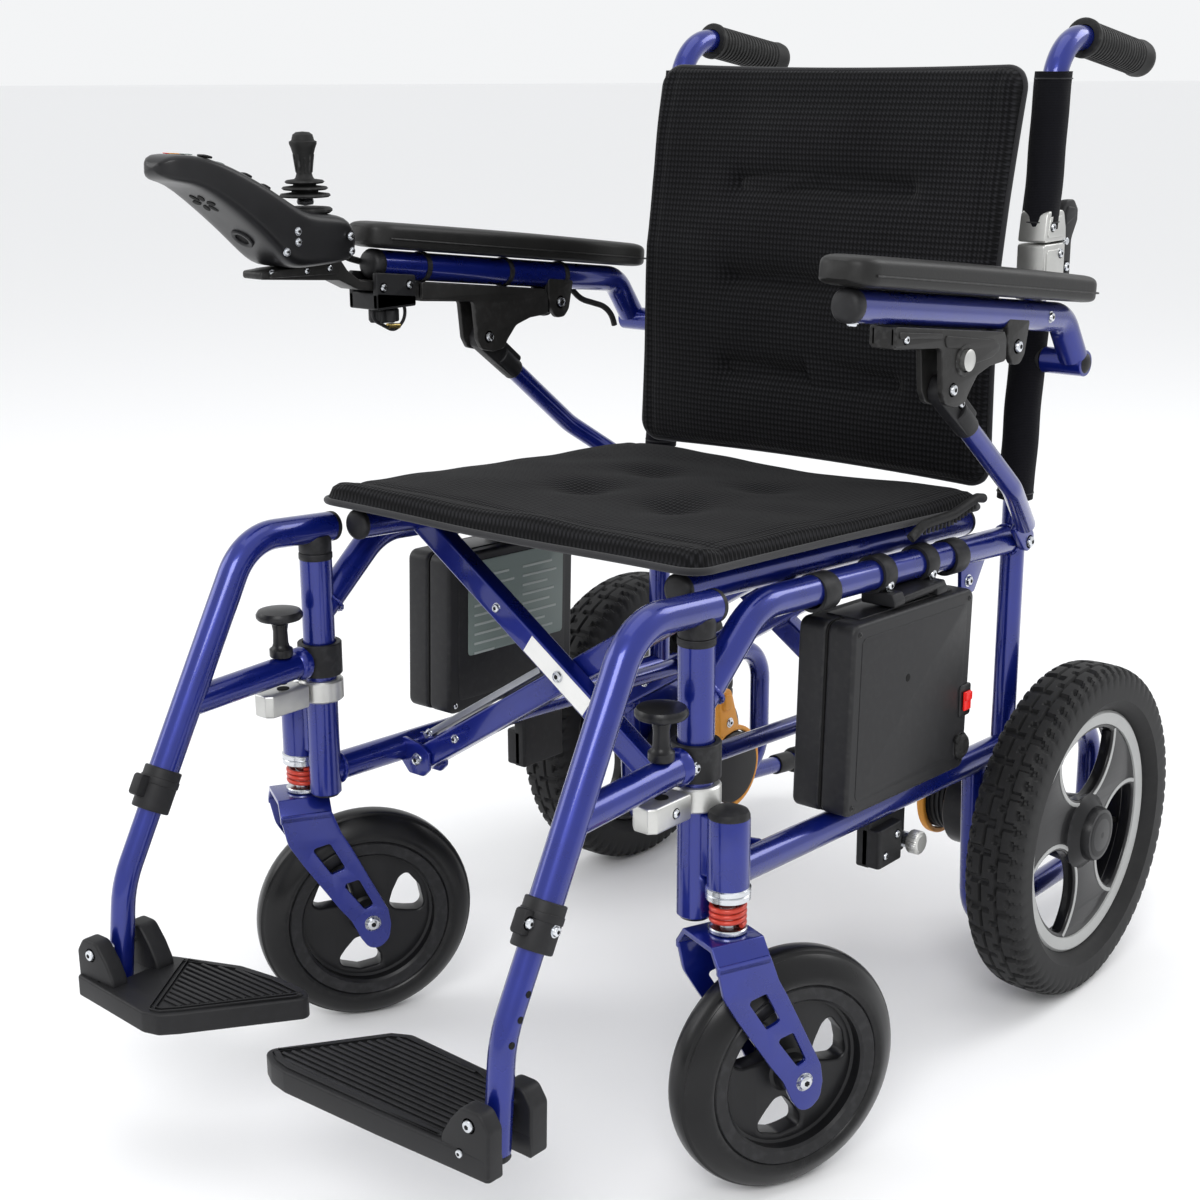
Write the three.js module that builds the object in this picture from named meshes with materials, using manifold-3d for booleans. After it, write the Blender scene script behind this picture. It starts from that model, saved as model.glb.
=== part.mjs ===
// Folding power wheelchair, built as an assembly of separate pieces.
// Units are millimetres, +Z is up, the chair faces -Y, +X is the user's left.
import * as THREE from 'three';
import { mergeVertices } from 'three/addons/utils/BufferGeometryUtils.js';
import Module from 'manifold-3d';

const wasm = await Module();
wasm.setup();

// ---------------------------------------------------------------- dimensions
const SHIFT_X = -6.319;            // moves the drawing so that the box of the chair is centred
const SHIFT_Y = -30.004;
const TUBE_R = 12.7;             // main frame tube, 25.4 mm
const CANE_R = 11;               // back canes and rear loop, 22 mm
const SIDE_X = 205;              // plane of each side frame
const POST = { x: 205.6, y: -221, z0: 231.5, z1: 448, r: 14 };
const HOUSING = { x: 236.5, y: -220.5, z0: 262, z1: 323, r: 16 };
const RAIL_SLOPE = 0.0372;       // lower rail falls to the rear
const SIDE_SLOPE = 0.058;        // upper side tube falls to the rear
const FOLD_TILT = 0.0558;        // sine of the slope of the fold axis
const FOLD_O = [0, -132, 359];   // pivot of the cross brace
const CLEVIS_X = 180, CLEVIS_W = -116.8;
const SEAT_RAIL_X = 173, SEAT_RAIL_W = 113;
const ARM_A = [[-9, 9], [302, 320]];
const ARM_B = [[10, 28], [283, 301]];
const CASTER_R = 100, CASTER_TRAIL = 51.8, SWIVEL_LEFT = 21.6, SWIVEL_RIGHT = 30.2;
const DRIVE_R = 158.3, DRIVE_X = 265, AXLE = [286, 158.3];
const MOTOR_AXIS_LEFT = [320, 150], MOTOR_AXIS_RIGHT = [254, 142];
const MOTOR_R = 38.5, MOTOR_TAIL_X = 100;
const ARM_X = 250, ARM_FRONT = [-101.5, 684], ARM_DROP = 0.126;
const ARM_PIVOT = [268.4, 598.5], CAST_PIVOT = [140, 628], STRUT_TOP = [37, 605], STRUT_FOOT = [249, 436];
const CANE_PIVOT = [302, 700], LEVER_PIVOT = [316, 676];
const HANGER_END = [208, -409, 272], HANGER_DIR = [0, -0.483, -0.8756];
const PLATE_AXIS = [209, 166];
const BATTERY_X = [178, 232], BATTERY_TILT = -2.1;

// ---------------------------------------------------------------- helpers
const V = (x, y, z) => new THREE.Vector3(x, y, z);
const rad = THREE.MathUtils.degToRad;

function manifold(geo) {
  let g = geo.clone();
  for (const k of ['normal', 'uv', 'tangent', 'color']) g.deleteAttribute(k);
  g = mergeVertices(g, 1e-3);
  const p = g.attributes.position.array, idx = g.index.array;
  const tri = [];
  for (let i = 0; i < idx.length; i += 3) {
    const a = idx[i], b = idx[i + 1], c = idx[i + 2];
    if (a !== b && b !== c && a !== c) tri.push(a, b, c);
  }
  return new wasm.Manifold(new wasm.Mesh({ numProp: 3, vertProperties: new Float32Array(p), triVerts: new Uint32Array(tri) }));
}
function geometry(m) {
  const mesh = m.getMesh();
  const g = new THREE.BufferGeometry();
  const n = mesh.numProp, src = mesh.vertProperties, out = new Float32Array(src.length / n * 3);
  for (let i = 0; i < src.length / n; i++) for (let k = 0; k < 3; k++) out[i * 3 + k] = src[i * n + k];
  g.setAttribute('position', new THREE.BufferAttribute(out, 3));
  g.setIndex(new THREE.BufferAttribute(new Uint32Array(mesh.triVerts), 1));
  g.computeVertexNormals();
  return g;
}
const join = (...gs) => geometry(gs.slice(1).reduce((a, b) => a.add(manifold(b)), manifold(gs[0])));
const cut = (g, ...gs) => geometry(gs.reduce((a, b) => a.subtract(manifold(b)), manifold(g)));

class SamplePath extends THREE.Curve {
  constructor(pts) { super(); this.pts = pts; }
  getPoint(t, target = new THREE.Vector3()) {
    const n = this.pts.length - 1, f = Math.min(Math.max(t, 0), 1) * n, i = Math.min(Math.floor(f), n - 1);
    return target.copy(this.pts[i]).lerp(this.pts[i + 1], f - i);
  }
  getUtoTmapping(u) { return u; }
  getSpacedPoints(d) { return Array.from({ length: d + 1 }, (_, i) => this.getPoint(i / d)); }
}
// a polyline with rounded corners: points are [x, y, z, bendRadius]
function route(points, stepDeg = 15) {
  const out = [V(...points[0].slice(0, 3))];
  for (let i = 1; i < points.length - 1; i++) {
    const a = V(...points[i - 1].slice(0, 3)), b = V(...points[i].slice(0, 3)), c = V(...points[i + 1].slice(0, 3));
    const u = a.clone().sub(b).normalize(), w = c.clone().sub(b).normalize();
    const ang = Math.PI - u.angleTo(w), R = points[i][3] || 20, t = R * Math.tan(ang / 2);
    const bis = u.clone().add(w).normalize(), centre = b.clone().addScaledVector(bis, R / Math.cos(ang / 2));
    const p0 = b.clone().addScaledVector(u, t), p1 = b.clone().addScaledVector(w, t);
    const n = Math.max(1, Math.round(THREE.MathUtils.radToDeg(ang) / stepDeg));
    const v0 = p0.clone().sub(centre), v1 = p1.clone().sub(centre);
    for (let k = 0; k <= n; k++) {
      const s = Math.sin(ang), q = k / n;
      out.push(centre.clone().addScaledVector(v0, Math.sin((1 - q) * ang) / s).addScaledVector(v1, Math.sin(q * ang) / s));
    }
  }
  out.push(V(...points[points.length - 1].slice(0, 3)));
  return out;
}
function tube(points, r, sides = 10, stepDeg = 22.5) {
  const pts = route(points, stepDeg), shape = new THREE.Shape();
  for (let i = 0; i < sides; i++) {
    const a = (i + 0.5) / sides * 2 * Math.PI;
    if (i === 0) shape.moveTo(r * Math.cos(a), r * Math.sin(a)); else shape.lineTo(r * Math.cos(a), r * Math.sin(a));
  }
  shape.closePath();
  return new THREE.ExtrudeGeometry(shape, { steps: pts.length - 1, bevelEnabled: false, extrudePath: new SamplePath(pts) });
}
const poly = (pts) => new THREE.Shape(pts.map((p) => new THREE.Vector2(p[0], p[1])));
function basis(geo, x, y, z, o = [0, 0, 0]) {
  const m = new THREE.Matrix4().makeBasis(V(...x), V(...y), V(...z)).setPosition(...o);
  return geo.applyMatrix4(m);
}
const prismYZ = (pts, x0, x1) => basis(new THREE.ExtrudeGeometry(poly(pts), { depth: x1 - x0, bevelEnabled: false }), [0, 1, 0], [0, 0, 1], [1, 0, 0], [x0, 0, 0]);
const prismXY = (pts, z0, z1) => basis(new THREE.ExtrudeGeometry(poly(pts), { depth: z1 - z0, bevelEnabled: false }), [1, 0, 0], [0, 1, 0], [0, 0, 1], [0, 0, z0]);
const prismXZ = (pts, y0, y1) => basis(new THREE.ExtrudeGeometry(poly(pts), { depth: y1 - y0, bevelEnabled: false }), [1, 0, 0], [0, 0, 1], [0, -1, 0], [0, y1, 0]);
const box = (x0, x1, y0, y1, z0, z1) => new THREE.BoxGeometry(x1 - x0, y1 - y0, z1 - z0).translate((x0 + x1) / 2, (y0 + y1) / 2, (z0 + z1) / 2);
function rod(a, b, r, sides = 12) {
  const p = V(...a), q = V(...b), d = q.clone().sub(p), g = new THREE.CylinderGeometry(r, r, d.length(), sides);
  g.applyQuaternion(new THREE.Quaternion().setFromUnitVectors(V(0, 1, 0), d.clone().normalize()));
  return g.translate((p.x + q.x) / 2, (p.y + q.y) / 2, (p.z + q.z) / 2);
}
const rodX = (x0, x1, yz, r, s) => rod([x0, yz[0], yz[1]], [x1, yz[0], yz[1]], r, s);
const rodZ = (x, y, z0, z1, r, s) => rod([x, y, z0], [x, y, z1], r, s);
function mirror(geo) {
  const g = geo.index ? geo.toNonIndexed() : geo.clone();
  g.applyMatrix4(new THREE.Matrix4().makeScale(-1, 1, 1));
  const p = g.attributes.position.array;
  for (let i = 0; i < p.length; i += 9) for (let k = 0; k < 3; k++) { const t = p[i + 3 + k]; p[i + 3 + k] = p[i + 6 + k]; p[i + 6 + k] = t; }
  g.computeVertexNormals();
  return g;
}
// the cross brace works in a frame tilted with the seat: x across, v along the fold axis, w up
const cT = Math.sqrt(1 - FOLD_TILT ** 2);
const tilt = (geo) => basis(geo, [1, 0, 0], [0, cT, -FOLD_TILT], [0, FOLD_TILT, cT], FOLD_O);
const tiltPoint = (x, v, w) => [FOLD_O[0] + x, FOLD_O[1] + v * cT + w * FOLD_TILT, FOLD_O[2] - v * FOLD_TILT + w * cT];
// a wheel frame: lathe axis along n, lathe z pointing down
function wheelFrame(geo, t, n, c) { return basis(geo, t, n, [0, 0, -1], c); }
function lathe(profile, segments) {
  const step = 2 * Math.PI / segments;
  return new THREE.LatheGeometry(profile.map((p) => new THREE.Vector2(p[0], p[1])), segments, -step / 2, 2 * Math.PI);
}

// ---------------------------------------------------------------- materials
const MAT = {
  blue: [0x14209a, 0.32, 0.75], plastic: [0x17181a, 0.55, 0], casting: [0x3a3937, 0.5, 0.3], rubber: [0x111111, 0.85, 0],
  fabric: [0x1c1d20, 0.95, 0], steel: [0xb9bcc2, 0.3, 1], silver: [0xc9c7c0, 0.35, 0.9], alloy: [0x26272a, 0.4, 0.5],
  orange: [0xd98f28, 0.5, 0], spring: [0xa33227, 0.45, 0.2], red: [0xd01f1b, 0.4, 0], skin: [0x2a2926, 0.6, 0],
};
const chair = new THREE.Group();
chair.position.set(SHIFT_X, SHIFT_Y, 0);
function add(name, geo, key) {
  const [c, r, m] = MAT[key];
  const mesh = new THREE.Mesh(geo, new THREE.MeshStandardMaterial({ color: c, roughness: r, metalness: m }));
  mesh.name = name;
  chair.add(mesh);
}
const railZ = (y) => 251.8 - RAIL_SLOPE * (y + 221);
const sideZ = (y) => 454.4 - SIDE_SLOPE * (y + 78.6);
const armZ = (y) => ARM_FRONT[1] - ARM_DROP * (y - ARM_FRONT[0]);
const caneY = (z) => 257 + 0.0889 * (z - 470);

// ---------------------------------------------------------------- side frames
function sideFrame(left) {
  const parts = [
    rodZ(POST.x, POST.y, POST.z0, POST.z1, POST.r, 16),
    rodZ(HOUSING.x, HOUSING.y, HOUSING.z0 - 1, HOUSING.z1, HOUSING.r, 14),
    rodZ(HOUSING.x, HOUSING.y, 252.5, 262.5, 17, 14),
    box(208, 234, -228, -213, 268, 316),
    tube([[205.3, -221, 396], [SIDE_X, -147, sideZ(-147), 60], [SIDE_X, 262, sideZ(262)]], TUBE_R),
    tube([[205.6, -221, railZ(-221)], [SIDE_X, 262, railZ(262)]], TUBE_R),
    tube([[SIDE_X, 240, railZ(240)], [SIDE_X, 442, 211, 42], [SIDE_X, 442, 66, 45], [SIDE_X, 212, 66, 45], [SIDE_X, 203, 240]], CANE_R, 8, 30),
    tube([[SIDE_X, 256, 236], [SIDE_X, 257, 470, 150], [SIDE_X, caneY(655), 655]], CANE_R),
    // lower half of the backrest hinge, with the lug of its release lever
    prismYZ([[262, 650], [290, 650], [302, 664], [302, 699.4], [262, 699.4]], 191, 219),
    prismYZ([[300, 664], [322, 664], [324, 672], [324, 686], [300, 690]], 196, 204.6),
    // rear pin of the armrest, and the boss for the foot of its strut
    rodX(SIDE_X, 257, ARM_PIVOT, 7), rodX(SIDE_X, 219.5, ARM_PIVOT, 10.5),
    rodX(SIDE_X, 218.4, STRUT_FOOT, 8, 10),
    // rear gusset and motor plate
    prismYZ([[163, 402], [172, 398], [186, 400], [206, 430], [206, 444], [160, 446]], 203, 207),
    cut(prismYZ([[204, 104], [204, 232], [342, 226], [342, 104], [318, 90], [230, 90]], 203, 207), rodX(200, 210, AXLE, 24, 16)),
    // battery hook under the upper tube, lock block under the lower rail
    box(198, 224, 55, 97, 424, 442), box(191, 206, 26, 84, 186, 232), box(191, 216, 26, 64, 186, 222),
    // catch of the footrest latch
    box(197, 219, -288, -212, 318, 338),
    // anti-tip tube and its rubber foot
    rod([SIDE_X, 424, 65], [SIDE_X, 515, 54], 9.5, 10), rod([SIDE_X, 508, 55], [SIDE_X, 545, 50], 15, 12),
  ];
  // saddles for the seat rails
  for (const v of [66, 269]) parts.push(tilt(box(160, 202, v - 9, v + 9, SEAT_RAIL_W - TUBE_R - 6.5, SEAT_RAIL_W - TUBE_R - 0.6)));
  // clevis plates for the foot of the cross brace
  const arms = left ? ARM_A : ARM_B;
  for (const [a, b] of arms) for (const [p, q] of [[a - 3.9, a - 0.4], [b + 0.4, b + 3.9]])
    parts.push(tilt(prismXZ([[166, -129], [190, -131], [201, -118], [201, -98], [178, -102], [166, -106]], p, q)));
  return cut(join(...parts), rodZ(POST.x, POST.y, 398, 450, 9.3), rodZ(HOUSING.x, HOUSING.y, 250, 314, 7.4));
}
add('side_frame_left', sideFrame(true), 'blue');
add('side_frame_right', mirror(sideFrame(false)), 'blue');

// ---------------------------------------------------------------- cross brace with the seat rails
function brace(arms, sign) {
  const al = Math.atan2(-CLEVIS_W, CLEVIS_X), len = 2 * Math.hypot(CLEVIS_X, CLEVIS_W) - 6, h = 11;
  const d = [-Math.cos(al), Math.sin(al)], n = [Math.sin(al), Math.cos(al)];
  const foot = [CLEVIS_X, CLEVIS_W], P = (t, s) => [foot[0] + d[0] * t + n[0] * s, foot[1] + d[1] * t + n[1] * s];
  const outline = [P(0, h)];
  for (let a = 30; a <= 150; a += 30) { const c = Math.cos(rad(a)), s = Math.sin(rad(a)); outline.push(P(-h * s, h * c)); }
  outline.push(P(0, -h), P(len, -h), P(len, h));
  const pts = outline.map(([x, w]) => [x, w]);
  const parts = [];
  for (const [a, b] of arms) parts.push(prismXZ(pts, a, b));
  parts.push(rod([-SEAT_RAIL_X, -74.4, SEAT_RAIL_W], [-SEAT_RAIL_X, 345, SEAT_RAIL_W], TUBE_R));
  // cross tube between the two arms, near the foot
  const c = P(96, 0);
  parts.push(rod([c[0], arms[0][0] + 4, c[1]], [c[0], arms[1][1] - 4, c[1]], 8, 8));
  let g = tilt(join(...parts));
  if (sign < 0) g = mirror(g);
  return g;
}
add('cross_brace_a', brace(ARM_A, 1), 'blue');
add('cross_brace_b', brace(ARM_B, -1), 'blue');

// ---------------------------------------------------------------- seat and back
const seatOutline = [[0.4, -92], [120, -90], [190, -84], [200, -74], [200, 318], [192, 328], [0.4, 330]];
add('seat_cushion_left', tilt(prismXY(seatOutline, 126.3, 148)), 'fabric');
add('seat_cushion_right', mirror(tilt(prismXY(seatOutline, 126.3, 148))), 'fabric');
add('back_cushion_lower', prismYZ([[212, 492], [219, 656.5], [253, 656.5], [238, 492]], -196, 196), 'fabric');
add('back_cushion_upper', prismYZ([[219.3, 657.5], [246, 846], [252, 850], [270, 850], [272, 846], [253.5, 657.5]], -196, 196), 'fabric');

// ---------------------------------------------------------------- push canes, grips and their release levers
function cane() {
  return join(
    tube([[SIDE_X, caneY(701), 701], [SIDE_X, 292.6, 881.7, 46], [SIDE_X, 448, 856.6]], CANE_R),
    prismYZ([[262, 700.6], [302, 700.6], [300, 714], [296, 730], [266, 730]], 191, 219));
}
function grip() {
  const a = [SIDE_X, 340, 874.1], b = [SIDE_X, 458, 855.1];
  return cut(rod(a, b, 16.5, 14), rod([SIDE_X, 335, 874.9], [SIDE_X, 452, 856.1], 11.6, 12));
}
const leverShape = [[320, 664], [312, 664], [306, 676], [304, 700], [304, 728], [312, 735], [326, 735], [333, 727], [334, 716]];
function sideCopies(left, right, build, key) {
  const g = build();
  add(left, g, key);
  add(right, mirror(g), key);
}
sideCopies('push_cane_left', 'push_cane_right', cane, 'blue');
sideCopies('push_grip_left', 'push_grip_right', grip, 'rubber');
sideCopies('cane_lever_left', 'cane_lever_right', () => prismYZ(leverShape, 205.2, 213), 'plastic');

// ---------------------------------------------------------------- armrests
const cheek = [[123, 655], [160, 650], [153, 620], [146, 614], [134, 614], [127, 622], [123, 634]];
function armTube(right) {
  let parts = [
    tube([[ARM_X, ARM_FRONT[0], ARM_FRONT[1]], [ARM_X, 238, armZ(238), 30], [ARM_X, 264, 605]], TUBE_R),
    rodX(221, 261, ARM_PIVOT, 11.4),
    prismYZ(cheek, 237.8, 243.2), prismYZ(cheek, 256.8, 262.2),
  ];
  const cuts = [rodX(218, 264, ARM_PIVOT, 7.6)];
  if (right) {
    parts.push(prismYZ([[-112, 644.5], [-64, 644.5], [-64, 672], [-112, 678]], 232, 268));
    cuts.push(prismYZ([[-116, 671.9], [-116, 661.6], [-60, 654.6], [-60, 664.9]], 237.4, 262.6));
    cuts.push(rod([ARM_X, -88, 640], [ARM_X, -88, 660], 4.6, 10));
  }
  return cut(join(...parts), ...cuts);
}
const padSection = [[-22, 0], [22, 0], [25, 3], [25, 14], [19, 22], [-19, 22], [-25, 14], [-25, 3]];
function pad() {
  const c = Math.cos(Math.atan(ARM_DROP)), s = Math.sin(Math.atan(ARM_DROP));
  const g = new THREE.ExtrudeGeometry(poly(padSection), { depth: 388, bevelEnabled: false });
  return basis(g, [-1, 0, 0], [0, s, c], [0, c, -s], [ARM_X, -118 + s * 13.2, armZ(-118) + c * 13.2]);
}
function casting() {
  const outer = [[-50, 664], [118, 642.6], [122, 636], [122, 618], [96, 617], [76, 612], [64, 600], [58, 592], [44, 590], [28, 594], [22, 604], [18, 640], [-50, 648]];
  const body = cut(prismYZ(outer, 238, 262), prismYZ([[-60, 640], [-52, 640], [14, 637], [96, 634], [103, 610], [60, 580], [10, 580]], 243.2, 256.8));
  const eye = join(prismYZ([[110, 640], [140, 638], [140, 618], [110, 619]], 243.6, 256.4), rodX(243.6, 256.4, CAST_PIVOT, 11));
  return cut(join(body, eye), rodX(256.5, 263, [53, 627], 9.6));
}
function strut() {
  return join(
    rodX(244, 256, STRUT_TOP, 11),
    prismYZ([[42, 614], [86, 576], [74, 562], [30, 596]], 244, 256),
    tube([[ARM_X, 74, 574.5], [ARM_X, 165, 503, 60], [229.5, 232, 456]], 9),
    prismYZ([[224, 449], [239.6, 462.5], [256.6, 442.5], [257, 434], [250, 427], [241, 429.5]], 219.2, 226));
}
add('armrest_tube_left', armTube(false), 'blue');
add('armrest_tube_right', mirror(armTube(true)), 'blue');
sideCopies('armrest_pad_left', 'armrest_pad_right', pad, 'skin');
sideCopies('armrest_bracket_left', 'armrest_bracket_right', casting, 'casting');
sideCopies('armrest_button_left', 'armrest_button_right', () => rodX(257.2, 269, [53, 627], 8.2), 'silver');
sideCopies('armrest_strut_left', 'armrest_strut_right', strut, 'blue');

// ---------------------------------------------------------------- footrests
function hanger() {
  const [ex, ey, ez] = HANGER_END, [dx, dy, dz] = HANGER_DIR;
  const at = (t) => [ex + dx * t, ey + dy * t, ez + dz * t];
  return cut(join(
    tube([[206, -203, 470.5], [206.5, -296, 477, 50], [ex, ey, ez]], TUBE_R),
    rod([POST.x, POST.y, 404], [POST.x, POST.y, 470], 8.6),
    rodZ(POST.x, POST.y, 448.8, 466, 11.5),
    rodZ(POST.x, POST.y, 342, 371, 19, 16),
    tube([[206, -236, 356], [207.4, -360, 350.7]], 12),
    rod(at(-34), at(2), 15.5, 12)),
  rodZ(POST.x, POST.y, 338, 376, 14.8, 16),
  rodZ(206.6, -263.7, 334, 374, 5.4, 10),
  rod(at(-106), at(6), 10.7, 12));
}
function footTube() {
  const [ex, ey, ez] = HANGER_END, [dx, dy, dz] = HANGER_DIR;
  return tube([[ex, ey - dy * 70, ez - dz * 70], [208, -440, 216, 90], [209, -449, 131]], 9.9, 10, 12);
}
function latchKnob() {
  return join(rodZ(206.6, -263.7, 342.4, 372, 4.8, 10), rodZ(206.6, -263.7, 367.3, 402, 6.5, 10), rodZ(206.6, -263.7, 399, 409, 16.5, 14));
}
const plateTop = 147, plateBottom = 127;
function footplate(outline) {
  const block = (y0, y1) => prismXZ([[189, 127], [226, 127], [227, 168], [220, 178], [200, 178], [190, 166]], y0, y1);
  return join(prismXY(outline, plateBottom, plateTop), block(-476, -461), block(-433, -415));
}
const notch = [[226, -461], [191, -461], [191, -433], [226, -433], [226, -415], [196, -415], [187, -404]];
const plateLeft = [[-12, -466], [8, -477], [25, -480], [120, -479], [186, -474], [226, -476], ...notch, [139, -383], [58, -379], [43, -387]];
const plateRight = [[107, -471], [118, -483], [132, -487], [190, -484], [226, -479], ...notch, [135, -383], [94, -378], [60, -380], [47, -388]];
sideCopies('footrest_hanger_left', 'footrest_hanger_right', hanger, 'blue');
sideCopies('footrest_latch_left', 'footrest_latch_right', latchKnob, 'plastic');
sideCopies('footrest_tube_left', 'footrest_tube_right', footTube, 'blue');
add('footplate_left', footplate(plateLeft), 'plastic');
add('footplate_right', mirror(footplate(plateRight)), 'plastic');

// ---------------------------------------------------------------- front casters
sideCopies('caster_spring_left', 'caster_spring_right', () => {
  const g = lathe([[7.6, 230.7], [14.5, 230.7], [14.5, 252.1], [7.6, 252.1], [7.6, 230.7]], 14);
  return basis(g, [0, 1, 0], [0, 0, 1], [1, 0, 0], [HOUSING.x, HOUSING.y, 0]);
}, 'spring');
sideCopies('caster_stem_left', 'caster_stem_right', () => join(
  rodZ(HOUSING.x, HOUSING.y, 212, 300, 6.8), rodZ(HOUSING.x, HOUSING.y, 226.5, 230.3, 15, 14), rodZ(HOUSING.x, HOUSING.y, 212, 220.8, 10, 10)), 'steel');
function casterAxes(side) {
  const a = rad(side > 0 ? SWIVEL_LEFT : SWIVEL_RIGHT);
  const t = [Math.sin(a), Math.cos(a), 0], n = [Math.cos(a), -Math.sin(a), 0], o = [side * HOUSING.x, HOUSING.y, 0];
  return { t, n, o, c: [o[0] + t[0] * CASTER_TRAIL, o[1] + t[1] * CASTER_TRAIL, CASTER_R] };
}
// fork drawn in u (trailing), n (outboard), z
const forkSide = [[-27, 214], [-26.5, 209], [-21.7, 186.5], [-8.9, 165], [21, 120], [32.5, 104.6], [42, 84], [50, 76], [60, 77], [67, 86], [68.5, 98], [67, 111], [34.5, 177.6], [26.9, 191.3], [21, 207.5], [18.5, 214]];
const forkHoles = [[[1, 179], [15, 182], [27.5, 157], [16.2, 154]], [[27, 141], [40, 143.5], [52, 118], [45.4, 116]]];
function fork(side) {
  const { t, n, o } = casterAxes(side);
  const plate = (n0, n1) => basis(cut(new THREE.ExtrudeGeometry(poly(forkSide), { depth: n1 - n0, bevelEnabled: false }),
    ...forkHoles.map((h) => new THREE.ExtrudeGeometry(poly(h), { depth: n1 - n0 + 4, bevelEnabled: false }).translate(0, 0, -2))), [1, 0, 0], [0, 0, 1], [0, -1, 0], [0, -n0, 0]);
  const crown = [[-31, 206], [-31, 213], [-21, 226], [21, 226], [31, 213], [31, 206], [27.2, 206], [27.2, 211.5], [19.4, 221.8], [-19.4, 221.8], [-27.2, 211.5], [-27.2, 206]];
  // local: x = u, y = -n, z
  const g = cut(join(
    plate(27.2, 31), plate(-31, -27.2),
    basis(new THREE.ExtrudeGeometry(poly(crown), { depth: 45.5, bevelEnabled: false }), [0, -1, 0], [0, 0, 1], [-1, 0, 0], [18.5, 0, 0]),
    rod([CASTER_TRAIL, -32.5, CASTER_R], [CASTER_TRAIL, 32.5, CASTER_R], 4.2, 8)),
  rodZ(0, 0, 205, 230, 7.4));
  return basis(g, t, [-n[0], -n[1], 0], [0, 0, 1], o);
}
function casterWheel(side) {
  const { t, n, c } = casterAxes(side), seg = 22, R = CASTER_R / Math.cos(Math.PI / seg);
  const g = lathe([[5, -25], [14, -25], [14, -9], [61, -9], [63, -20], [80, -22.5], [R, -11], [R, 11], [80, 22.5], [63, 20], [61, 9], [14, 9], [14, 25], [5, 25], [5, -25]], seg);
  const holes = [];
  for (let i = 0; i < 3; i++) {
    const pts = [];
    for (const [r, d] of [[25, 4], [34, 28], [52, 36], [56, 26], [56, -2], [50, -10], [32, -9]]) {
      const a = rad(i * 120 + 40 + d);
      pts.push([r * Math.cos(a), r * Math.sin(a)]);
    }
    holes.push(basis(new THREE.ExtrudeGeometry(poly(pts), { depth: 40, bevelEnabled: false }), [0, 0, 1], [1, 0, 0], [0, 1, 0], [0, -20, 0]));
  }
  return wheelFrame(cut(g, ...holes), t, n, c);
}
for (const [side, tag] of [[1, 'left'], [-1, 'right']]) {
  add('caster_fork_' + tag, fork(side), 'blue');
  add('caster_wheel_' + tag, casterWheel(side), 'rubber');
}

// ---------------------------------------------------------------- drive wheels and motors
function driveRim() {
  const g = lathe([[8.7, -22], [30, -22], [30, -8], [102, -6], [103, -18], [114.6, -18], [114.6, 18], [103, 18], [102, 8], [30, 12], [30, 23], [8.7, 23], [8.7, -22]], 24);
  // three round openings that run out to the rim
  const holes = [];
  for (const deg of [93, 218, 340]) {
    const pts = [];
    for (const f of [-84, -56, -28, 0, 28, 56, 84]) {
      const x = 84 - 50 * Math.cos(rad(f)), y = 50 * Math.sin(rad(f));
      pts.push([-x * Math.sin(rad(deg)) - y * Math.cos(rad(deg)), x * Math.cos(rad(deg)) - y * Math.sin(rad(deg))]);
    }
    for (const f of [24, 8, -8, -24]) pts.push([-97 * Math.sin(rad(deg + f)), 97 * Math.cos(rad(deg + f))]);
    holes.push(basis(new THREE.ExtrudeGeometry(poly(pts), { depth: 60, bevelEnabled: false }), [0, 0, 1], [1, 0, 0], [0, 1, 0], [0, -30, 0]));
  }
  return wheelFrame(cut(g, ...holes), [0, 1, 0], [1, 0, 0], [DRIVE_X, ...AXLE]);
}
function driveTyre() {
  const seg = 28, R = DRIVE_R / Math.cos(Math.PI / seg);
  const g = lathe([[116, -18], [126, -27], [146, -28.3], [R, -14], [R, 14], [146, 28.3], [126, 27], [116, 18], [116, -18]], seg);
  return wheelFrame(g, [0, 1, 0], [1, 0, 0], [DRIVE_X, ...AXLE]);
}
sideCopies('drive_rim_left', 'drive_rim_right', driveRim, 'alloy');
sideCopies('drive_tyre_left', 'drive_tyre_right', driveTyre, 'rubber');
function motor(axis) {
  const [ay, az] = AXLE, [my, mz] = axis, L = Math.hypot(my - ay, mz - az), ny = -(mz - az) / L * 41, nz = (my - ay) / L * 41;
  return join(
    rodX(150, 193.2, AXLE, 42, 16), rodX(150, 193.2, axis, 42, 16),
    prismYZ(nz > 0 ? [[ay - ny, az - nz], [my - ny, mz - nz], [my + ny, mz + nz], [ay + ny, az + nz]].reverse() : [[ay - ny, az - nz], [my - ny, mz - nz], [my + ny, mz + nz], [ay + ny, az + nz]], 150, 193.2),
    rodX(MOTOR_TAIL_X, 152, axis, MOTOR_R, 20),
    rodX(193, 202, AXLE, 18), rodX(198, 262, AXLE, 8.1));
}
function clutch(axis, paddle) {
  const [my, mz] = axis;
  const ring = cut(rodX(104, 112, axis, 45, 20), rodX(100, 116, axis, MOTOR_R + 1, 20));
  return join(ring, prismYZ(paddle.map(([y, z]) => [my + y, mz + z]), 104.5, 111.5));
}
add('drive_motor_left', motor(MOTOR_AXIS_LEFT), 'plastic');
add('drive_motor_right', mirror(motor(MOTOR_AXIS_RIGHT)), 'plastic');
const paddle = [[10, 42], [-2, 80], [-8, 88], [-20, 88], [-27, 80], [-24, 36.5], [-6, 43.5]];
add('clutch_lever_left', clutch(MOTOR_AXIS_LEFT, paddle.map(([y, z]) => [y + 10, z])), 'orange');
add('clutch_lever_right', mirror(clutch(MOTOR_AXIS_RIGHT, paddle)), 'orange');

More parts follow.
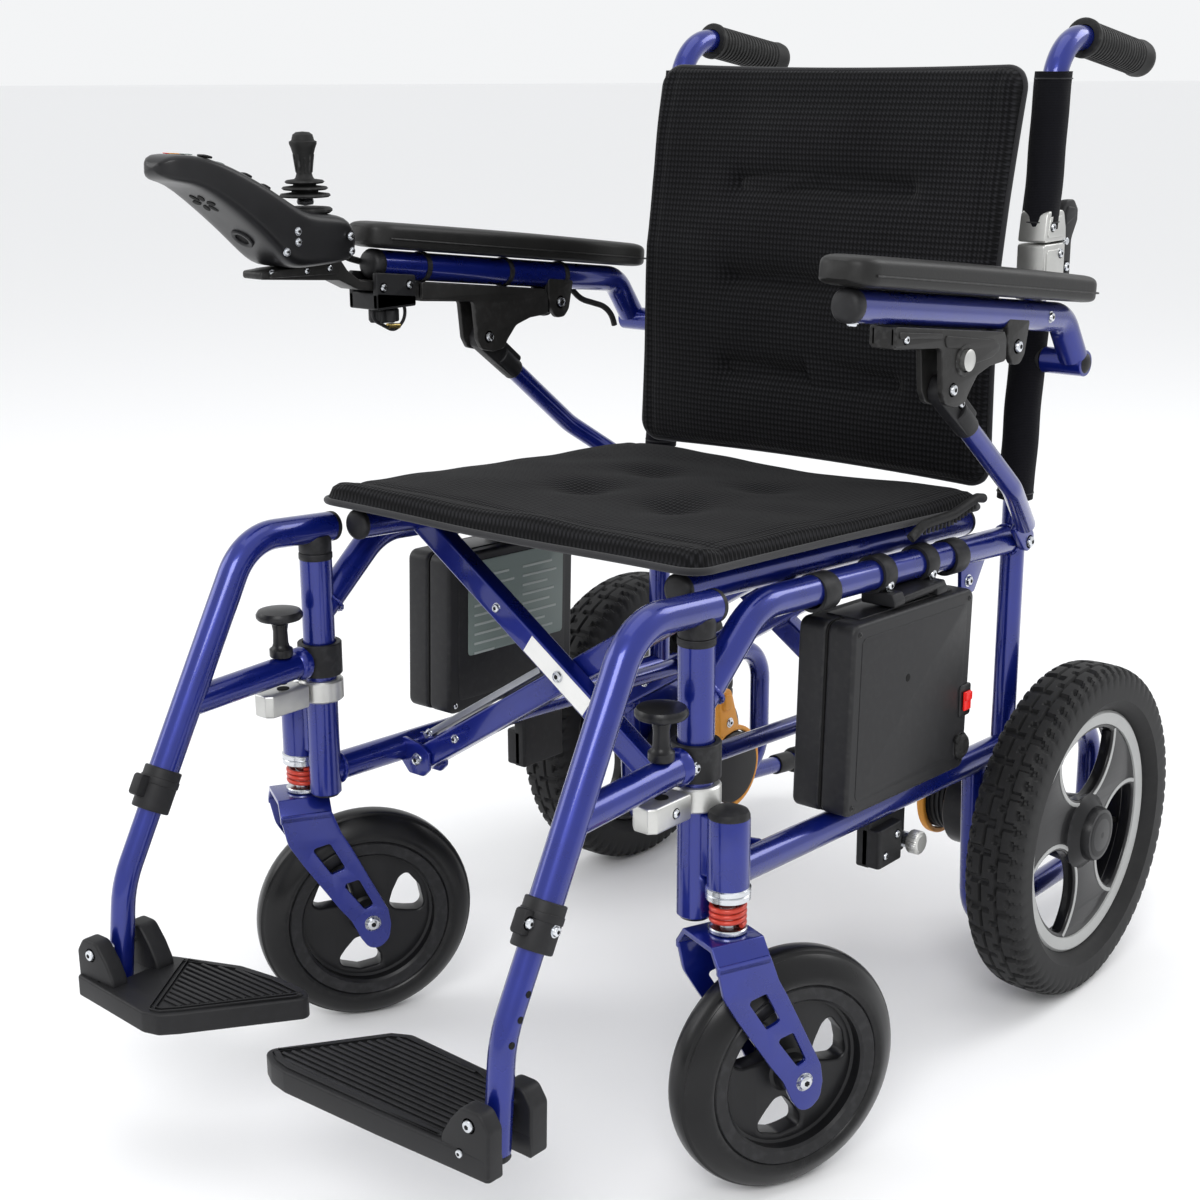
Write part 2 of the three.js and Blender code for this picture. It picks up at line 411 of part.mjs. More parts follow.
// ---------------------------------------------------------------- batteries
function batteryBox(yc, zc, hy, hz) {
  const a = rad(BATTERY_TILT), pts = [[-hy + 6, -hz], [hy - 6, -hz], [hy, -hz + 6], [hy, hz - 6], [hy - 6, hz], [-hy + 6, hz], [-hy, hz - 6], [-hy, -hz + 6]];
  return prismYZ(pts.map(([y, z]) => [yc + y * Math.cos(a) - z * Math.sin(a), zc + y * Math.sin(a) + z * Math.cos(a)]), ...BATTERY_X);
}
add('battery_left', batteryBox(44, 339, 95, 81), 'plastic');
add('battery_right', mirror(batteryBox(-2, 345, 86, 75)), 'plastic');
add('battery_switch', prismYZ([[125, 309], [136, 309], [136, 326], [125, 326]], 234.4, 238), 'red');
add('charge_cover', join(rodX(232.5, 236.5, [127, 276], 11, 14), rodX(232.5, 236, [117, 285], 4.5, 8)), 'rubber');
add('battery_lock_knob', join(rodX(206.5, 217, [76, 199], 7, 10), rodX(216.5, 228, [76, 199], 10.5, 14)), 'silver');

// ---------------------------------------------------------------- joystick controller on the right armrest
const CX = -242, STICK = [CX, -182, 732];
const bodyProfile = [[-338, 776], [-330, 786], [-300, 784], [-259, 767], [-208, 738], [-157, 731], [-149, 716], [-146, 693], [-221, 690], [-306, 764]];
const topDir = V(0, 41, -17).normalize(), topN = V(0, 17, 41).normalize();
const btn = V(CX + 8, -280, 775.7);
const along = (p, n, t) => [p.x + n.x * t, p.y + n.y * t, p.z + n.z * t];
add('controller_body', cut(prismYZ(bodyProfile, -273, -211), rod(along(btn, topN, -5), along(btn, topN, 8), 7.4)), 'plastic');
add('power_button', rod(along(btn, topN, -3), along(btn, topN, 2), 7), 'plastic');
add('controller_mount', prismYZ([[-238, 682], [-238, 688.4], [-221, 689.4], [-148, 692.3], [-140, 682], [-126, 672.4], [-60, 664.2], [-60, 655.2], [-128, 663.8], [-150, 674]], -262, -238), 'plastic');
add('mount_knob', join(rod([-250, -88, 642], [-250, -88, 655.5], 4, 8), prismXY(Array.from({ length: 14 }, (_, i) => { const a = i / 14 * 2 * Math.PI, r = i % 2 ? 10.5 : 14; return [-250 + r * Math.cos(a), -88 + r * Math.sin(a)]; }), 631, 643.5)), 'plastic');
add('joystick_gimbal', basis(lathe([[0, 741], [6.5, 741], [7.5, 743], [6.5, 745.5], [0, 745.5]], 12), [0, 1, 0], [0, 0, 1], [1, 0, 0], [STICK[0], STICK[1], 0]), 'steel');
add('joystick_lever', basis(lathe([[0, 750], [10, 750], [17, 746.5], [19, 748.5], [19, 757], [8, 761], [7.2, 768], [10.5, 786], [10.5, 793], [7, 798.5], [0, 800]], 14), [0, 1, 0], [0, 0, 1], [1, 0, 0], [STICK[0], STICK[1], 0]), 'rubber');
const cableRoute = [[-267, -96, 684], [-267, 172, armZ(172), 30], [-260, 196, 624, 30], [-252, 234, 612, 30], [-252, 240, 592]];
add('controller_cable', tube(cableRoute, 3, 8, 30), 'rubber');

export default chair;
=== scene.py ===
import bpy, math
import numpy as np
from mathutils import Vector, Matrix, noise


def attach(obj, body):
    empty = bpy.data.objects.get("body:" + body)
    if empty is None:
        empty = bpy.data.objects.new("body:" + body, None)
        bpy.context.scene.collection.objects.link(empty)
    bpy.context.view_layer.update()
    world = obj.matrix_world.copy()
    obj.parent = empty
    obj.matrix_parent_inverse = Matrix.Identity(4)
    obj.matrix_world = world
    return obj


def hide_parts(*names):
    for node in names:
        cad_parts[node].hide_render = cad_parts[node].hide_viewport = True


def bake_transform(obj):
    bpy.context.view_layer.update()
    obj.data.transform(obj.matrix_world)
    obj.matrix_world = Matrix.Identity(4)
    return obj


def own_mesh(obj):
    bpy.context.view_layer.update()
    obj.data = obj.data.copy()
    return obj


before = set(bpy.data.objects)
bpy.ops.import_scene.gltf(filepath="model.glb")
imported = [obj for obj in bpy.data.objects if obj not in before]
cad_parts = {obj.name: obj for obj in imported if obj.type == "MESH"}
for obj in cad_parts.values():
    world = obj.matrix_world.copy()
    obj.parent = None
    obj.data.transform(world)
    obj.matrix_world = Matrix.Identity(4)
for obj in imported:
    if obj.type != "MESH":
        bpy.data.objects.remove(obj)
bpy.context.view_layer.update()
XS, YS = -6.319, -30.004          # the part's own shift, mm
FT = 0.0558
CT = math.sqrt(1 - FT * FT)
rad = math.radians

# ------------------------------------------------------------------ camera, floor, light
def vec(*a): return np.array(a, float)
yaw, pitch, roll = rad(39.61), rad(15.47), rad(-0.24)
back = Vector((math.sin(yaw) * math.cos(pitch), -math.cos(yaw) * math.cos(pitch), math.sin(pitch)))
right = Vector((math.cos(yaw), math.sin(yaw), 0))
up = back.cross(right)
r2 = right * math.cos(roll) + up * math.sin(roll)
u2 = back.cross(r2)
cam = bpy.data.cameras.new("camera")
cam.sensor_fit = "HORIZONTAL"; cam.sensor_width = 36
cam.lens = 1987.43 / 1200 * 36
cam.shift_x, cam.shift_y = -13.08 / 1200, 3.79 / 1200
cam.clip_start, cam.clip_end = 0.05, 60
cam_o = bpy.data.objects.new("camera", cam)
bpy.context.scene.collection.objects.link(cam_o)
m = Matrix(((r2.x, u2.x, back.x, (1048.35 + XS) / 1000), (r2.y, u2.y, back.y, (-1335.23 + YS) / 1000), (r2.z, u2.z, back.z, 0.86223), (0, 0, 0, 1)))
cam_o.matrix_world = m
bpy.context.scene.camera = cam_o

# ------------------------------------------------------------------ node materials
def new_mat(name):
    mt = bpy.data.materials.new(name); mt.use_nodes = True
    nt = mt.node_tree
    b = nt.nodes["Principled BSDF"]
    return mt, nt, b
def N(nt, kind, **kw):
    n = nt.nodes.new(kind)
    for k, v in kw.items():
        if k in n.inputs: n.inputs[k].default_value = v
        else: setattr(n, k, v)
    return n
def coords(nt, scale=(1, 1, 1)):
    tc = N(nt, "ShaderNodeTexCoord"); mp = N(nt, "ShaderNodeMapping"); mp.inputs["Scale"].default_value = scale
    nt.links.new(tc.outputs["Object"], mp.inputs["Vector"])
    return mp.outputs["Vector"]
def ramp(nt, fac, stops):
    r = N(nt, "ShaderNodeValToRGB"); e = r.color_ramp.elements
    e[0].position, e[0].color = stops[0][0], stops[0][1]
    e[1].position, e[1].color = stops[-1][0], stops[-1][1]
    for p, c in stops[1:-1]:
        q = e.new(p); q.color = c
    nt.links.new(fac, r.inputs["Fac"])
    return r.outputs["Color"]
def c4(c, k=1.0): return (c[0] * k, c[1] * k, c[2] * k, 1)
def surface(name, color, rough, metal=0.0, grain=900, bump=0.05, vary=0.12, rough_vary=0.08, coat=0.0, wear=None, spec=0.28, dist=0.0004, sheen=0.0, low=30):
    mt, nt, b = new_mat(name)
    v = coords(nt)
    n1 = N(nt, "ShaderNodeTexNoise", Scale=grain, Detail=3.0, Roughness=0.6); nt.links.new(v, n1.inputs["Vector"])
    n2 = N(nt, "ShaderNodeTexNoise", Scale=low, Detail=4.0, Roughness=0.6); nt.links.new(v, n2.inputs["Vector"])
    col = ramp(nt, n2.outputs["Fac"], [(0.3, c4(color, 1 - vary)), (0.7, c4(color, 1 + vary))])
    rr = N(nt, "ShaderNodeMapRange"); rr.inputs["To Min"].default_value = max(0.02, rough - rough_vary); rr.inputs["To Max"].default_value = min(1, rough + rough_vary)
    nt.links.new(n2.outputs["Fac"], rr.inputs["Value"]); nt.links.new(rr.outputs["Result"], b.inputs["Roughness"])
    if wear:
        g = N(nt, "ShaderNodeNewGeometry"); wr = ramp(nt, g.outputs["Pointiness"], [(0.52, (0, 0, 0, 1)), (0.62, (1, 1, 1, 1))])
        n3 = N(nt, "ShaderNodeTexNoise", Scale=160.0, Detail=4.0); nt.links.new(v, n3.inputs["Vector"])
        n3r = ramp(nt, n3.outputs["Fac"], [(0.48, (0, 0, 0, 1)), (0.66, (1, 1, 1, 1))])
        mu = N(nt, "ShaderNodeMath", operation="MULTIPLY"); nt.links.new(wr, mu.inputs[0]); nt.links.new(n3r, mu.inputs[1])
        mx = N(nt, "ShaderNodeMix", data_type="RGBA"); nt.links.new(mu.outputs[0], mx.inputs["Factor"]); nt.links.new(col, mx.inputs[6]); mx.inputs[7].default_value = c4(wear)
        col = mx.outputs[2]
    nt.links.new(col, b.inputs["Base Color"])
    b.inputs["Metallic"].default_value = metal
    b.inputs["Specular IOR Level"].default_value = spec
    b.inputs["Coat Weight"].default_value = coat
    b.inputs["Coat Roughness"].default_value = 0.08
    if sheen:
        b.inputs["Sheen Weight"].default_value = sheen; b.inputs["Sheen Roughness"].default_value = 0.5
    bp = N(nt, "ShaderNodeBump", Strength=bump, Distance=dist); nt.links.new(n1.outputs["Fac"], bp.inputs["Height"]); nt.links.new(bp.outputs["Normal"], b.inputs["Normal"])
    return mt
def weave(name, base, light, pitch_m, strength=0.6, plane="XZ"):
    """Raised mesh cloth: offset rows of small lozenges; the colour follows the relief, with painted shade in the
    valleys and a painted highlight on the lozenge tops.
    """
    mt, nt, b = new_mat(name)
    tc = N(nt, "ShaderNodeTexCoord"); sp = N(nt, "ShaderNodeSeparateXYZ"); nt.links.new(tc.outputs["Object"], sp.inputs[0])
    k = 2 * math.pi / pitch_m
    def wave(a, b_, ka, kb, ph=0.0):
        m1 = N(nt, "ShaderNodeMath", operation="MULTIPLY"); nt.links.new(a, m1.inputs[0]); m1.inputs[1].default_value = ka
        m2 = N(nt, "ShaderNodeMath", operation="MULTIPLY_ADD"); nt.links.new(b_, m2.inputs[0]); m2.inputs[1].default_value = kb; nt.links.new(m1.outputs[0], m2.inputs[2])
        s = N(nt, "ShaderNodeMath", operation="SINE"); nt.links.new(m2.outputs[0], s.inputs[0])
        return s.outputs[0]
    A = sp.outputs["X"]
    if plane == "XZ": B = sp.outputs["Z"]
    elif plane == "XY": B = sp.outputs["Y"]
    else:
        ad = N(nt, "ShaderNodeMath", operation="ADD"); nt.links.new(sp.outputs["X"], ad.inputs[0]); nt.links.new(sp.outputs["Y"], ad.inputs[1])
        A = ad.outputs[0]; B = sp.outputs["Z"]
    w1 = wave(A, B, k, k * 0.8); w2 = wave(A, B, k, -k * 0.8)
    mul = N(nt, "ShaderNodeMath", operation="MULTIPLY"); nt.links.new(w1, mul.inputs[0]); nt.links.new(w2, mul.inputs[1])
    w3 = wave(A, B, k * 2.0, k * 3.2)
    add = N(nt, "ShaderNodeMath", operation="MULTIPLY_ADD"); nt.links.new(w3, add.inputs[0]); add.inputs[1].default_value = 0.28; nt.links.new(mul.outputs[0], add.inputs[2])
    mr = N(nt, "ShaderNodeMapRange"); mr.inputs["From Min"].default_value = -0.9; mr.inputs["From Max"].default_value = 1.0
    nt.links.new(add.outputs[0], mr.inputs["Value"])
    big = N(nt, "ShaderNodeTexNoise", Scale=9.0, Detail=5.0); nt.links.new(tc.outputs["Object"], big.inputs["Vector"])
    fine = N(nt, "ShaderNodeTexNoise", Scale=1400.0, Detail=2.0); nt.links.new(tc.outputs["Object"], fine.inputs["Vector"])
    # colour from the weave height: painted shade in the valleys (base darkened to 0.55) and a painted highlight on the
    # raised lozenges (light)
    col = ramp(nt, mr.outputs["Result"], [(0.1, c4(base, 0.55)), (0.5, c4(base)), (0.95, c4(light))])
    mx = N(nt, "ShaderNodeMix", data_type="RGBA", blend_type="MULTIPLY"); mx.inputs["Factor"].default_value = 1.0
    br = ramp(nt, big.outputs["Fac"], [(0.3, (0.78, 0.78, 0.8, 1)), (0.7, (1.15, 1.15, 1.15, 1))])
    nt.links.new(col, mx.inputs[6]); nt.links.new(br, mx.inputs[7]); nt.links.new(mx.outputs[2], b.inputs["Base Color"])
    b.inputs["Roughness"].default_value = 0.9; b.inputs["Specular IOR Level"].default_value = 0.12
    b.inputs["Sheen Weight"].default_value = 0.04; b.inputs["Sheen Roughness"].default_value = 0.45
    b1 = N(nt, "ShaderNodeBump", Strength=strength, Distance=0.0011); nt.links.new(mr.outputs["Result"], b1.inputs["Height"])
    b2 = N(nt, "ShaderNodeBump", Strength=0.25, Distance=0.0003); nt.links.new(fine.outputs["Fac"], b2.inputs["Height"]); nt.links.new(b1.outputs["Normal"], b2.inputs["Normal"])
    nt.links.new(b2.outputs["Normal"], b.inputs["Normal"])
    return mt
BLUE = surface("frame_blue", (0.004, 0.013, 0.19), 0.28, metal=0.5, grain=2600, bump=0.05, vary=0.10, rough_vary=0.05, coat=0.7, spec=0.5, dist=0.0001)
PLASTIC = surface("black_plastic", (0.009, 0.009, 0.010), 0.5, grain=1500, bump=0.18, vary=0.2, wear=(0.03, 0.03, 0.033), dist=0.0002)
SATIN = surface("black_satin", (0.008, 0.008, 0.009), 0.34, grain=1200, bump=0.06, vary=0.2, wear=(0.03, 0.03, 0.033), dist=0.0002)
CASTING = surface("charcoal_casting", (0.017, 0.0165, 0.016), 0.42, metal=0.2, grain=700, bump=0.16, vary=0.2, wear=(0.14, 0.14, 0.14), dist=0.0003)
RUBBER = surface("rubber", (0.008, 0.008, 0.008), 0.62, grain=900, bump=0.15, vary=0.25, wear=(0.045, 0.045, 0.045), dist=0.0003)
TYRE = surface("tyre", (0.009, 0.009, 0.0095), 0.6, grain=600, bump=0.12, vary=0.3, wear=(0.05, 0.048, 0.045), dist=0.0003)
CASTOR = surface("caster_tyre", (0.005, 0.005, 0.0055), 0.3, grain=600, bump=0.05, vary=0.2, wear=(0.03, 0.03, 0.03), dist=0.0002)
ZINC = surface("zinc", (0.62, 0.64, 0.67), 0.24, metal=1.0, grain=500, bump=0.06, vary=0.15, dist=0.0002)
SILVER = surface("silver_casting", (0.56, 0.56, 0.54), 0.38, metal=0.85, grain=700, bump=0.12, vary=0.1, dist=0.0002)
RIMSILVER = surface("rim_silver", (0.40, 0.405, 0.40), 0.42, metal=0.5, grain=1100, bump=0.04, vary=0.06, dist=0.0001)
ALLOY = surface("black_alloy", (0.006, 0.006, 0.007), 0.32, metal=0.35, grain=800, bump=0.05, vary=0.15, wear=(0.1, 0.1, 0.1), coat=0.2, dist=0.0002)
ORANGE = surface("orange_lever", (0.72, 0.30, 0.035), 0.42, grain=900, bump=0.08, vary=0.08, wear=(0.85, 0.45, 0.12), dist=0.0002)
SPRING = surface("red_spring", (0.50, 0.045, 0.025), 0.3, metal=0.15, grain=900, bump=0.05, vary=0.15, coat=0.3, dist=0.0002)
RED = surface("red_rocker", (0.75, 0.015, 0.012), 0.25, grain=600, bump=0.02, vary=0.05)
SKIN = surface("armrest_skin", (0.010, 0.0098, 0.0095), 0.44, grain=520, bump=0.3, vary=0.15, wear=(0.04, 0.04, 0.04), dist=0.0004)
BATT = surface("battery_case", (0.013, 0.013, 0.0142), 0.46, grain=1300, bump=0.22, vary=0.15, wear=(0.07, 0.07, 0.07), dist=0.0002)
GREY = surface("grey_aluminium", (0.33, 0.34, 0.36), 0.34, metal=0.9, grain=500, bump=0.06, vary=0.1, dist=0.0002)
PIPING = surface("piping", (0.012, 0.012, 0.014), 0.75, grain=2000, bump=0.3, vary=0.2, sheen=0.2)
# painted shade: this near-black stands in for the shade inside sockets, holes, slots and gaps
PAINTED_SHADE = surface("painted_shade", (0.003, 0.003, 0.003), 0.8, grain=900, bump=0.02)
LABEL = surface("label_green", (0.22, 0.27, 0.25), 0.4, grain=400, bump=0.01, vary=0.04, low=12)
LABELD = surface("label_lines", (0.42, 0.46, 0.44), 0.4, grain=400, bump=0.01, vary=0.04)
BRASS = surface("brass_wire", (0.45, 0.34, 0.12), 0.3, metal=1.0, grain=500, bump=0.04)
SEATF = weave("seat_mesh", (0.0045, 0.0045, 0.0052), (0.016, 0.016, 0.018), 0.0082, 0.75, "XY")
BACKF = weave("back_mesh", (0.0045, 0.0045, 0.0052), (0.016, 0.016, 0.018), 0.0082, 0.75, "XZ")
SIDEF = weave("side_cloth", (0.004, 0.004, 0.006), (0.011, 0.011, 0.014), 0.0022, 0.35, "ALL")
STICKER = surface("plain_sticker", (0.80, 0.80, 0.78), 0.4, grain=400, bump=0.01, vary=0.04)

# ------------------------------------------------------------------ geometry kit, drawn in the part's millimetres
def arc_route(points, step=6.0):
    P = [vec(*p[:3]) for p in points]; out = [P[0]]
    for i in range(1, len(P) - 1):
        a, b, c = P[i - 1], P[i], P[i + 1]
        u = (a - b) / np.linalg.norm(a - b); w = (c - b) / np.linalg.norm(c - b)
        ang = math.pi - math.acos(max(-1, min(1, float(u @ w))))
        if ang < 1e-3: out.append(b); continue
        R = points[i][3] if len(points[i]) > 3 else 20
        t = R * math.tan(ang / 2); bis = (u + w) / np.linalg.norm(u + w); ctr = b + bis * R / math.cos(ang / 2)
        p0, p1 = b + u * t, b + w * t
        n = max(2, int(round(math.degrees(ang) / step))); v0, v1 = p0 - ctr, p1 - ctr
        for k in range(n + 1):
            q = k / n; s = math.sin(ang)
            out.append(ctr + v0 * math.sin((1 - q) * ang) / s + v1 * math.sin(q * ang) / s)
    out.append(P[-1])
    return np.array(out)
def frames(pts, ref=None):
    d = np.diff(pts, axis=0); d /= np.linalg.norm(d, axis=1)[:, None]
    T = np.vstack([d[0], (d[:-1] + d[1:]), d[-1]]); T /= np.linalg.norm(T, axis=1)[:, None]
    n = vec(*ref) if ref is not None else (vec(1, 0, 0) if abs(T[0][0]) < 0.8 else vec(0, 1, 0))
    n = n - T[0] * (n @ T[0]); n /= np.linalg.norm(n); Ns = [n]
    for i in range(1, len(T)):
        n = Ns[-1] - T[i] * (Ns[-1] @ T[i]); n /= np.linalg.norm(n); Ns.append(n)
    Ns = np.array(Ns); return T, Ns, np.cross(T, Ns)
def sweep_section(pts, section, ref=None, closed=False, cap=True, scale=None):
    """section: closed list of (n, b) points carried along pts"""
    pts = np.asarray(pts, float); k = len(section); sec = np.array(section, float)
    if closed:
        ext = np.vstack([pts[-1], pts, pts[0]]); d = ext[2:] - ext[:-2]; T = d / np.linalg.norm(d, axis=1)[:, None]
        n = vec(*ref) if ref is not None else vec(0, 0, 1)
        Ns = np.array([(n - t * (n @ t)) / np.linalg.norm(n - t * (n @ t)) for t in T]); B = np.cross(T, Ns)
    else:
        T, Ns, B = frames(pts, ref)
        dd = np.diff(pts, axis=0); dd /= np.linalg.norm(dd, axis=1)[:, None]
    V = []
    for i in range(len(pts)):
        s = 1.0 if scale is None else scale[i]
        V.append(pts[i] + s * (sec[:, :1] * Ns[i] + sec[:, 1:] * B[i]))
    V = np.vstack(V); F = []; m_ = len(pts)
    for i in range(m_ if closed else m_ - 1):
        j = (i + 1) % m_
        for q in range(k):
            r = (q + 1) % k; F.append((i * k + q, i * k + r, j * k + r, j * k + q))
    if cap and not closed:
        F.append(tuple(range(k - 1, -1, -1))); F.append(tuple((m_ - 1) * k + q for q in range(k)))
    return V, F
def circle(r, n): return [(r * math.cos(2 * math.pi * i / n), r * math.sin(2 * math.pi * i / n)) for i in range(n)]
def tube(points, r, n=28, step=5, edge=0.0):
    pts = arc_route(points, step)
    sc = None
    if edge > 0:
        d0 = (pts[1] - pts[0]) / np.linalg.norm(pts[1] - pts[0]); d1 = (pts[-1] - pts[-2]) / np.linalg.norm(pts[-1] - pts[-2])
        k = 4; A = [pts[0] + d0 * edge * (1 - math.cos(math.pi / 2 * i / k)) for i in range(k)]; Bp = [pts[-1] - d1 * edge * (1 - math.cos(math.pi / 2 * i / k)) for i in range(k)][::-1]
        sA = [(r - edge + edge * math.sin(math.pi / 2 * i / k)) / r for i in range(k)]
        pts = np.vstack([A, [pts[0] + d0 * edge], pts[1:-1], [pts[-1] - d1 * edge], Bp]); sc = sA + [1] * (len(pts) - 2 * k) + sA[::-1]
    return sweep_section(pts, circle(r, n), scale=sc)
def rod(a, b, r, n=28, edge=0.6): return tube([a, b], r, n, edge=min(edge, r * 0.4))
def lathe(profile, o, axis, n=64, ref=None, closed=False, mod=None):
    """profile: (radius, height along axis); closed profile loops back"""
    ax = vec(*axis); ax /= np.linalg.norm(ax)
    e = vec(*ref) if ref is not None else (vec(0, 0, 1) if abs(ax[2]) < 0.9 else vec(1, 0, 0))
    e = e - ax * (e @ ax); e /= np.linalg.norm(e); f = np.cross(ax, e); o = vec(*o)
    V = []; k = len(profile)
    for i in range(n):
        a = 2 * math.pi * i / n; d = e * math.cos(a) + f * math.sin(a)
        for q, (r, h) in enumerate(profile):
            rr = r if mod is None else mod(r, h, a, q)
            V.append(o + d * rr + ax * h)
    F = []
    for i in range(n):
        j = (i + 1) % n
        for q in range(k if closed else k - 1):
            s = (q + 1) % k
            A, B_, C, D = i * k + q, j * k + q, j * k + s, i * k + s
            pa, pb = profile[q][0], profile[s][0]
            if pa < 1e-6 and pb < 1e-6: continue
            F.append((A, B_, C, D))
    return np.array(V), F
def fillet(pts, r, step=15):
    """rounds the corners of a closed 2D outline; r one number or one per corner"""
    n = len(pts); out = []
    for i in range(n):
        a, b, c = vec(*pts[i - 1][:2]), vec(*pts[i][:2]), vec(*pts[(i + 1) % n][:2])
        R = pts[i][2] if len(pts[i]) > 2 else r
        la, lc = np.linalg.norm(a - b), np.linalg.norm(c - b)
        if R <= 0 or la < 1e-6 or lc < 1e-6: out.append(tuple(b)); continue
        u, w = (a - b) / la, (c - b) / lc
        ang = math.pi - math.acos(max(-1, min(1, float(u @ w))))
        if ang < 0.05: out.append(tuple(b)); continue
        t = min(R * math.tan(ang / 2), 0.49 * la, 0.49 * lc); R = t / math.tan(ang / 2)
        bis = (u + w) / np.linalg.norm(u + w); ctr = b + bis * R / math.cos(ang / 2)
        v0, v1 = b + u * t - ctr, b + w * t - ctr; k = max(1, int(round(math.degrees(ang) / step)))
        for q in range(k + 1):
            out.append(tuple(ctr + v0 * math.sin((1 - q / k) * ang) / math.sin(ang) + v1 * math.sin(q / k * ang) / math.sin(ang)))
    return out
_tmp = [0]
def plate2d(outline, holes, t, bev, res=2):
    """flat plate in (a, b) with thickness t centred on 0, holes and rounded edges"""
    cu = bpy.data.curves.new("t", "CURVE"); cu.dimensions = "2D"; cu.fill_mode = "BOTH"
    for loop in [outline] + list(holes):
        sp = cu.splines.new("POLY"); sp.points.add(len(loop) - 1); sp.use_cyclic_u = True
        for p, q in zip(sp.points, loop): p.co = (q[0], q[1], 0, 1)
    cu.extrude = max(t / 2 - bev, 1e-4); cu.bevel_depth = bev; cu.bevel_resolution = res; cu.offset = -bev
    ob = bpy.data.objects.new("t", cu); bpy.context.scene.collection.objects.link(ob)
    dg = bpy.context.evaluated_depsgraph_get(); me = bpy.data.meshes.new_from_object(ob.evaluated_get(dg))
    V = np.array([v.co[:] for v in me.vertices]); F = [tuple(p.vertices) for p in me.polygons]
    bpy.data.objects.remove(ob); bpy.data.curves.remove(cu); bpy.data.meshes.remove(me)
    return V, F
def put(VF, o, a, b):
    """local (x, y, z) -> o + x*a + y*b + z*(a x b)"""
    V, F = VF; a, b = vec(*a), vec(*b); c = np.cross(a, b); M_ = np.stack([a, b, c])
    return V @ M_ + vec(*o), F
def prism(axis, pts, lo, hi, r=1.0, bev=0.8, holes=(), res=2):
    """outline in the two other axes (y,z for x; x,z for y; x,y for z) between lo and hi"""
    out = fillet(pts, r) if r > 0 else [tuple(p[:2]) for p in pts]
    bev = min(bev, (hi - lo) * 0.45)
    VF = plate2d(out, holes, hi - lo, bev, res); mid = (lo + hi) / 2
    if axis == "x": return put(VF, (mid, 0, 0), (0, 1, 0), (0, 0, 1))
    if axis == "y": V, F = put(VF, (0, mid, 0), (1, 0, 0), (0, 0, 1)); return V, F
    return put(VF, (0, 0, mid), (1, 0, 0), (0, 1, 0))
def block(x0, x1, y0, y1, z0, z1, r=1.5, bev=0.8): return prism("z", [(x0, y0), (x1, y0), (x1, y1), (x0, y1)], z0, z1, r, bev)
def tp(x, v, w): return (x, -132 + v * CT + w * FT, 359 - v * FT + w * CT)
def tilt(VF):
    V, F = VF; return np.stack([V[:, 0], -132 + V[:, 1] * CT + V[:, 2] * FT, 359 - V[:, 1] * FT + V[:, 2] * CT], 1), F

PIECES = {}
class G:
    """collects geometry, then becomes one Blender object"""
    def __init__(s, name): s.name, s.V, s.F, s.M, s.n, s.mats, s.uv = name, [], [], [], 0, [], None
    def add(s, VF, mat, mirror=False):
        V, F = VF; V = np.array(V, float)
        if mat not in s.mats: s.mats.append(mat)
        k = s.mats.index(mat); s.V.append(V); s.F += [tuple(i + s.n for i in f) for f in F]; s.M += [k] * len(F); s.n += len(V)
        return s
    def bolt(s, p, axis, r=5, h=3.2, mat=None, socket=True):
        mat = mat or ZINC
        s.add(lathe([(0, h), (r * 0.55, h), (r * 0.86, h * 0.8), (r, h * 0.35), (r, 0), (r * 1.25, 0), (r * 1.25, -0.9), (0, -0.9)], p, axis, 20), mat)
        if socket:
            # socket: a near-black disc of painted shade on the head stands in for the recess
            a = vec(*axis); a = a / np.linalg.norm(a); s.add(lathe([(0, 0.12), (r * 0.42, 0.12), (r * 0.42, -1)], vec(*p) + a * h, axis, 6), PAINTED_SHADE)
        return s
    def make(s, body, replaces=(), mirror=False, smooth=38, subsurf=0, name=None):
        V = np.vstack(s.V); F = s.F
        if mirror: V = V * vec(-1, 1, 1); F = [tuple(reversed(f)) for f in F]
        W = (V + vec(XS, YS, 0)) / 1000
        me = bpy.data.meshes.new(name or s.name); me.from_pydata(W.tolist(), [], F); 
        for mt in s.mats: me.materials.append(mt)
        me.polygons.foreach_set("material_index", s.M)
        me.validate(); 
        import bmesh
        bm = bmesh.new(); bm.from_mesh(me); bmesh.ops.remove_doubles(bm, verts=bm.verts, dist=2e-6)
        bmesh.ops.dissolve_degenerate(bm, edges=bm.edges, dist=1e-7); bmesh.ops.recalc_face_normals(bm, faces=bm.faces); bm.to_mesh(me); bm.free()
        me.shade_smooth(); me.set_sharp_from_angle(angle=rad(smooth))
        ob = bpy.data.objects.new(name or s.name, me); bpy.context.scene.collection.objects.link(ob)
        if subsurf:
            md = ob.modifiers.new("sub", "SUBSURF"); md.levels = md.render_levels = subsurf
        if body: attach(ob, body)
        if replaces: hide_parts(*replaces)
        PIECES[ob.name] = ob
        return ob

SIDES = (("left", False), ("right", True))
railZ = lambda y: 251.8 - 0.0372 * (y + 221)
sideZ = lambda y: 454.4 - 0.058 * (y + 78.6)
armZ = lambda y: 684 - 0.126 * (y + 101.5)
caneY = lambda z: 257 + 0.0889 * (z - 470)
AX, AZ = 286, 158.3
MOT = {"left": (320, 150), "right": (254, 142)}

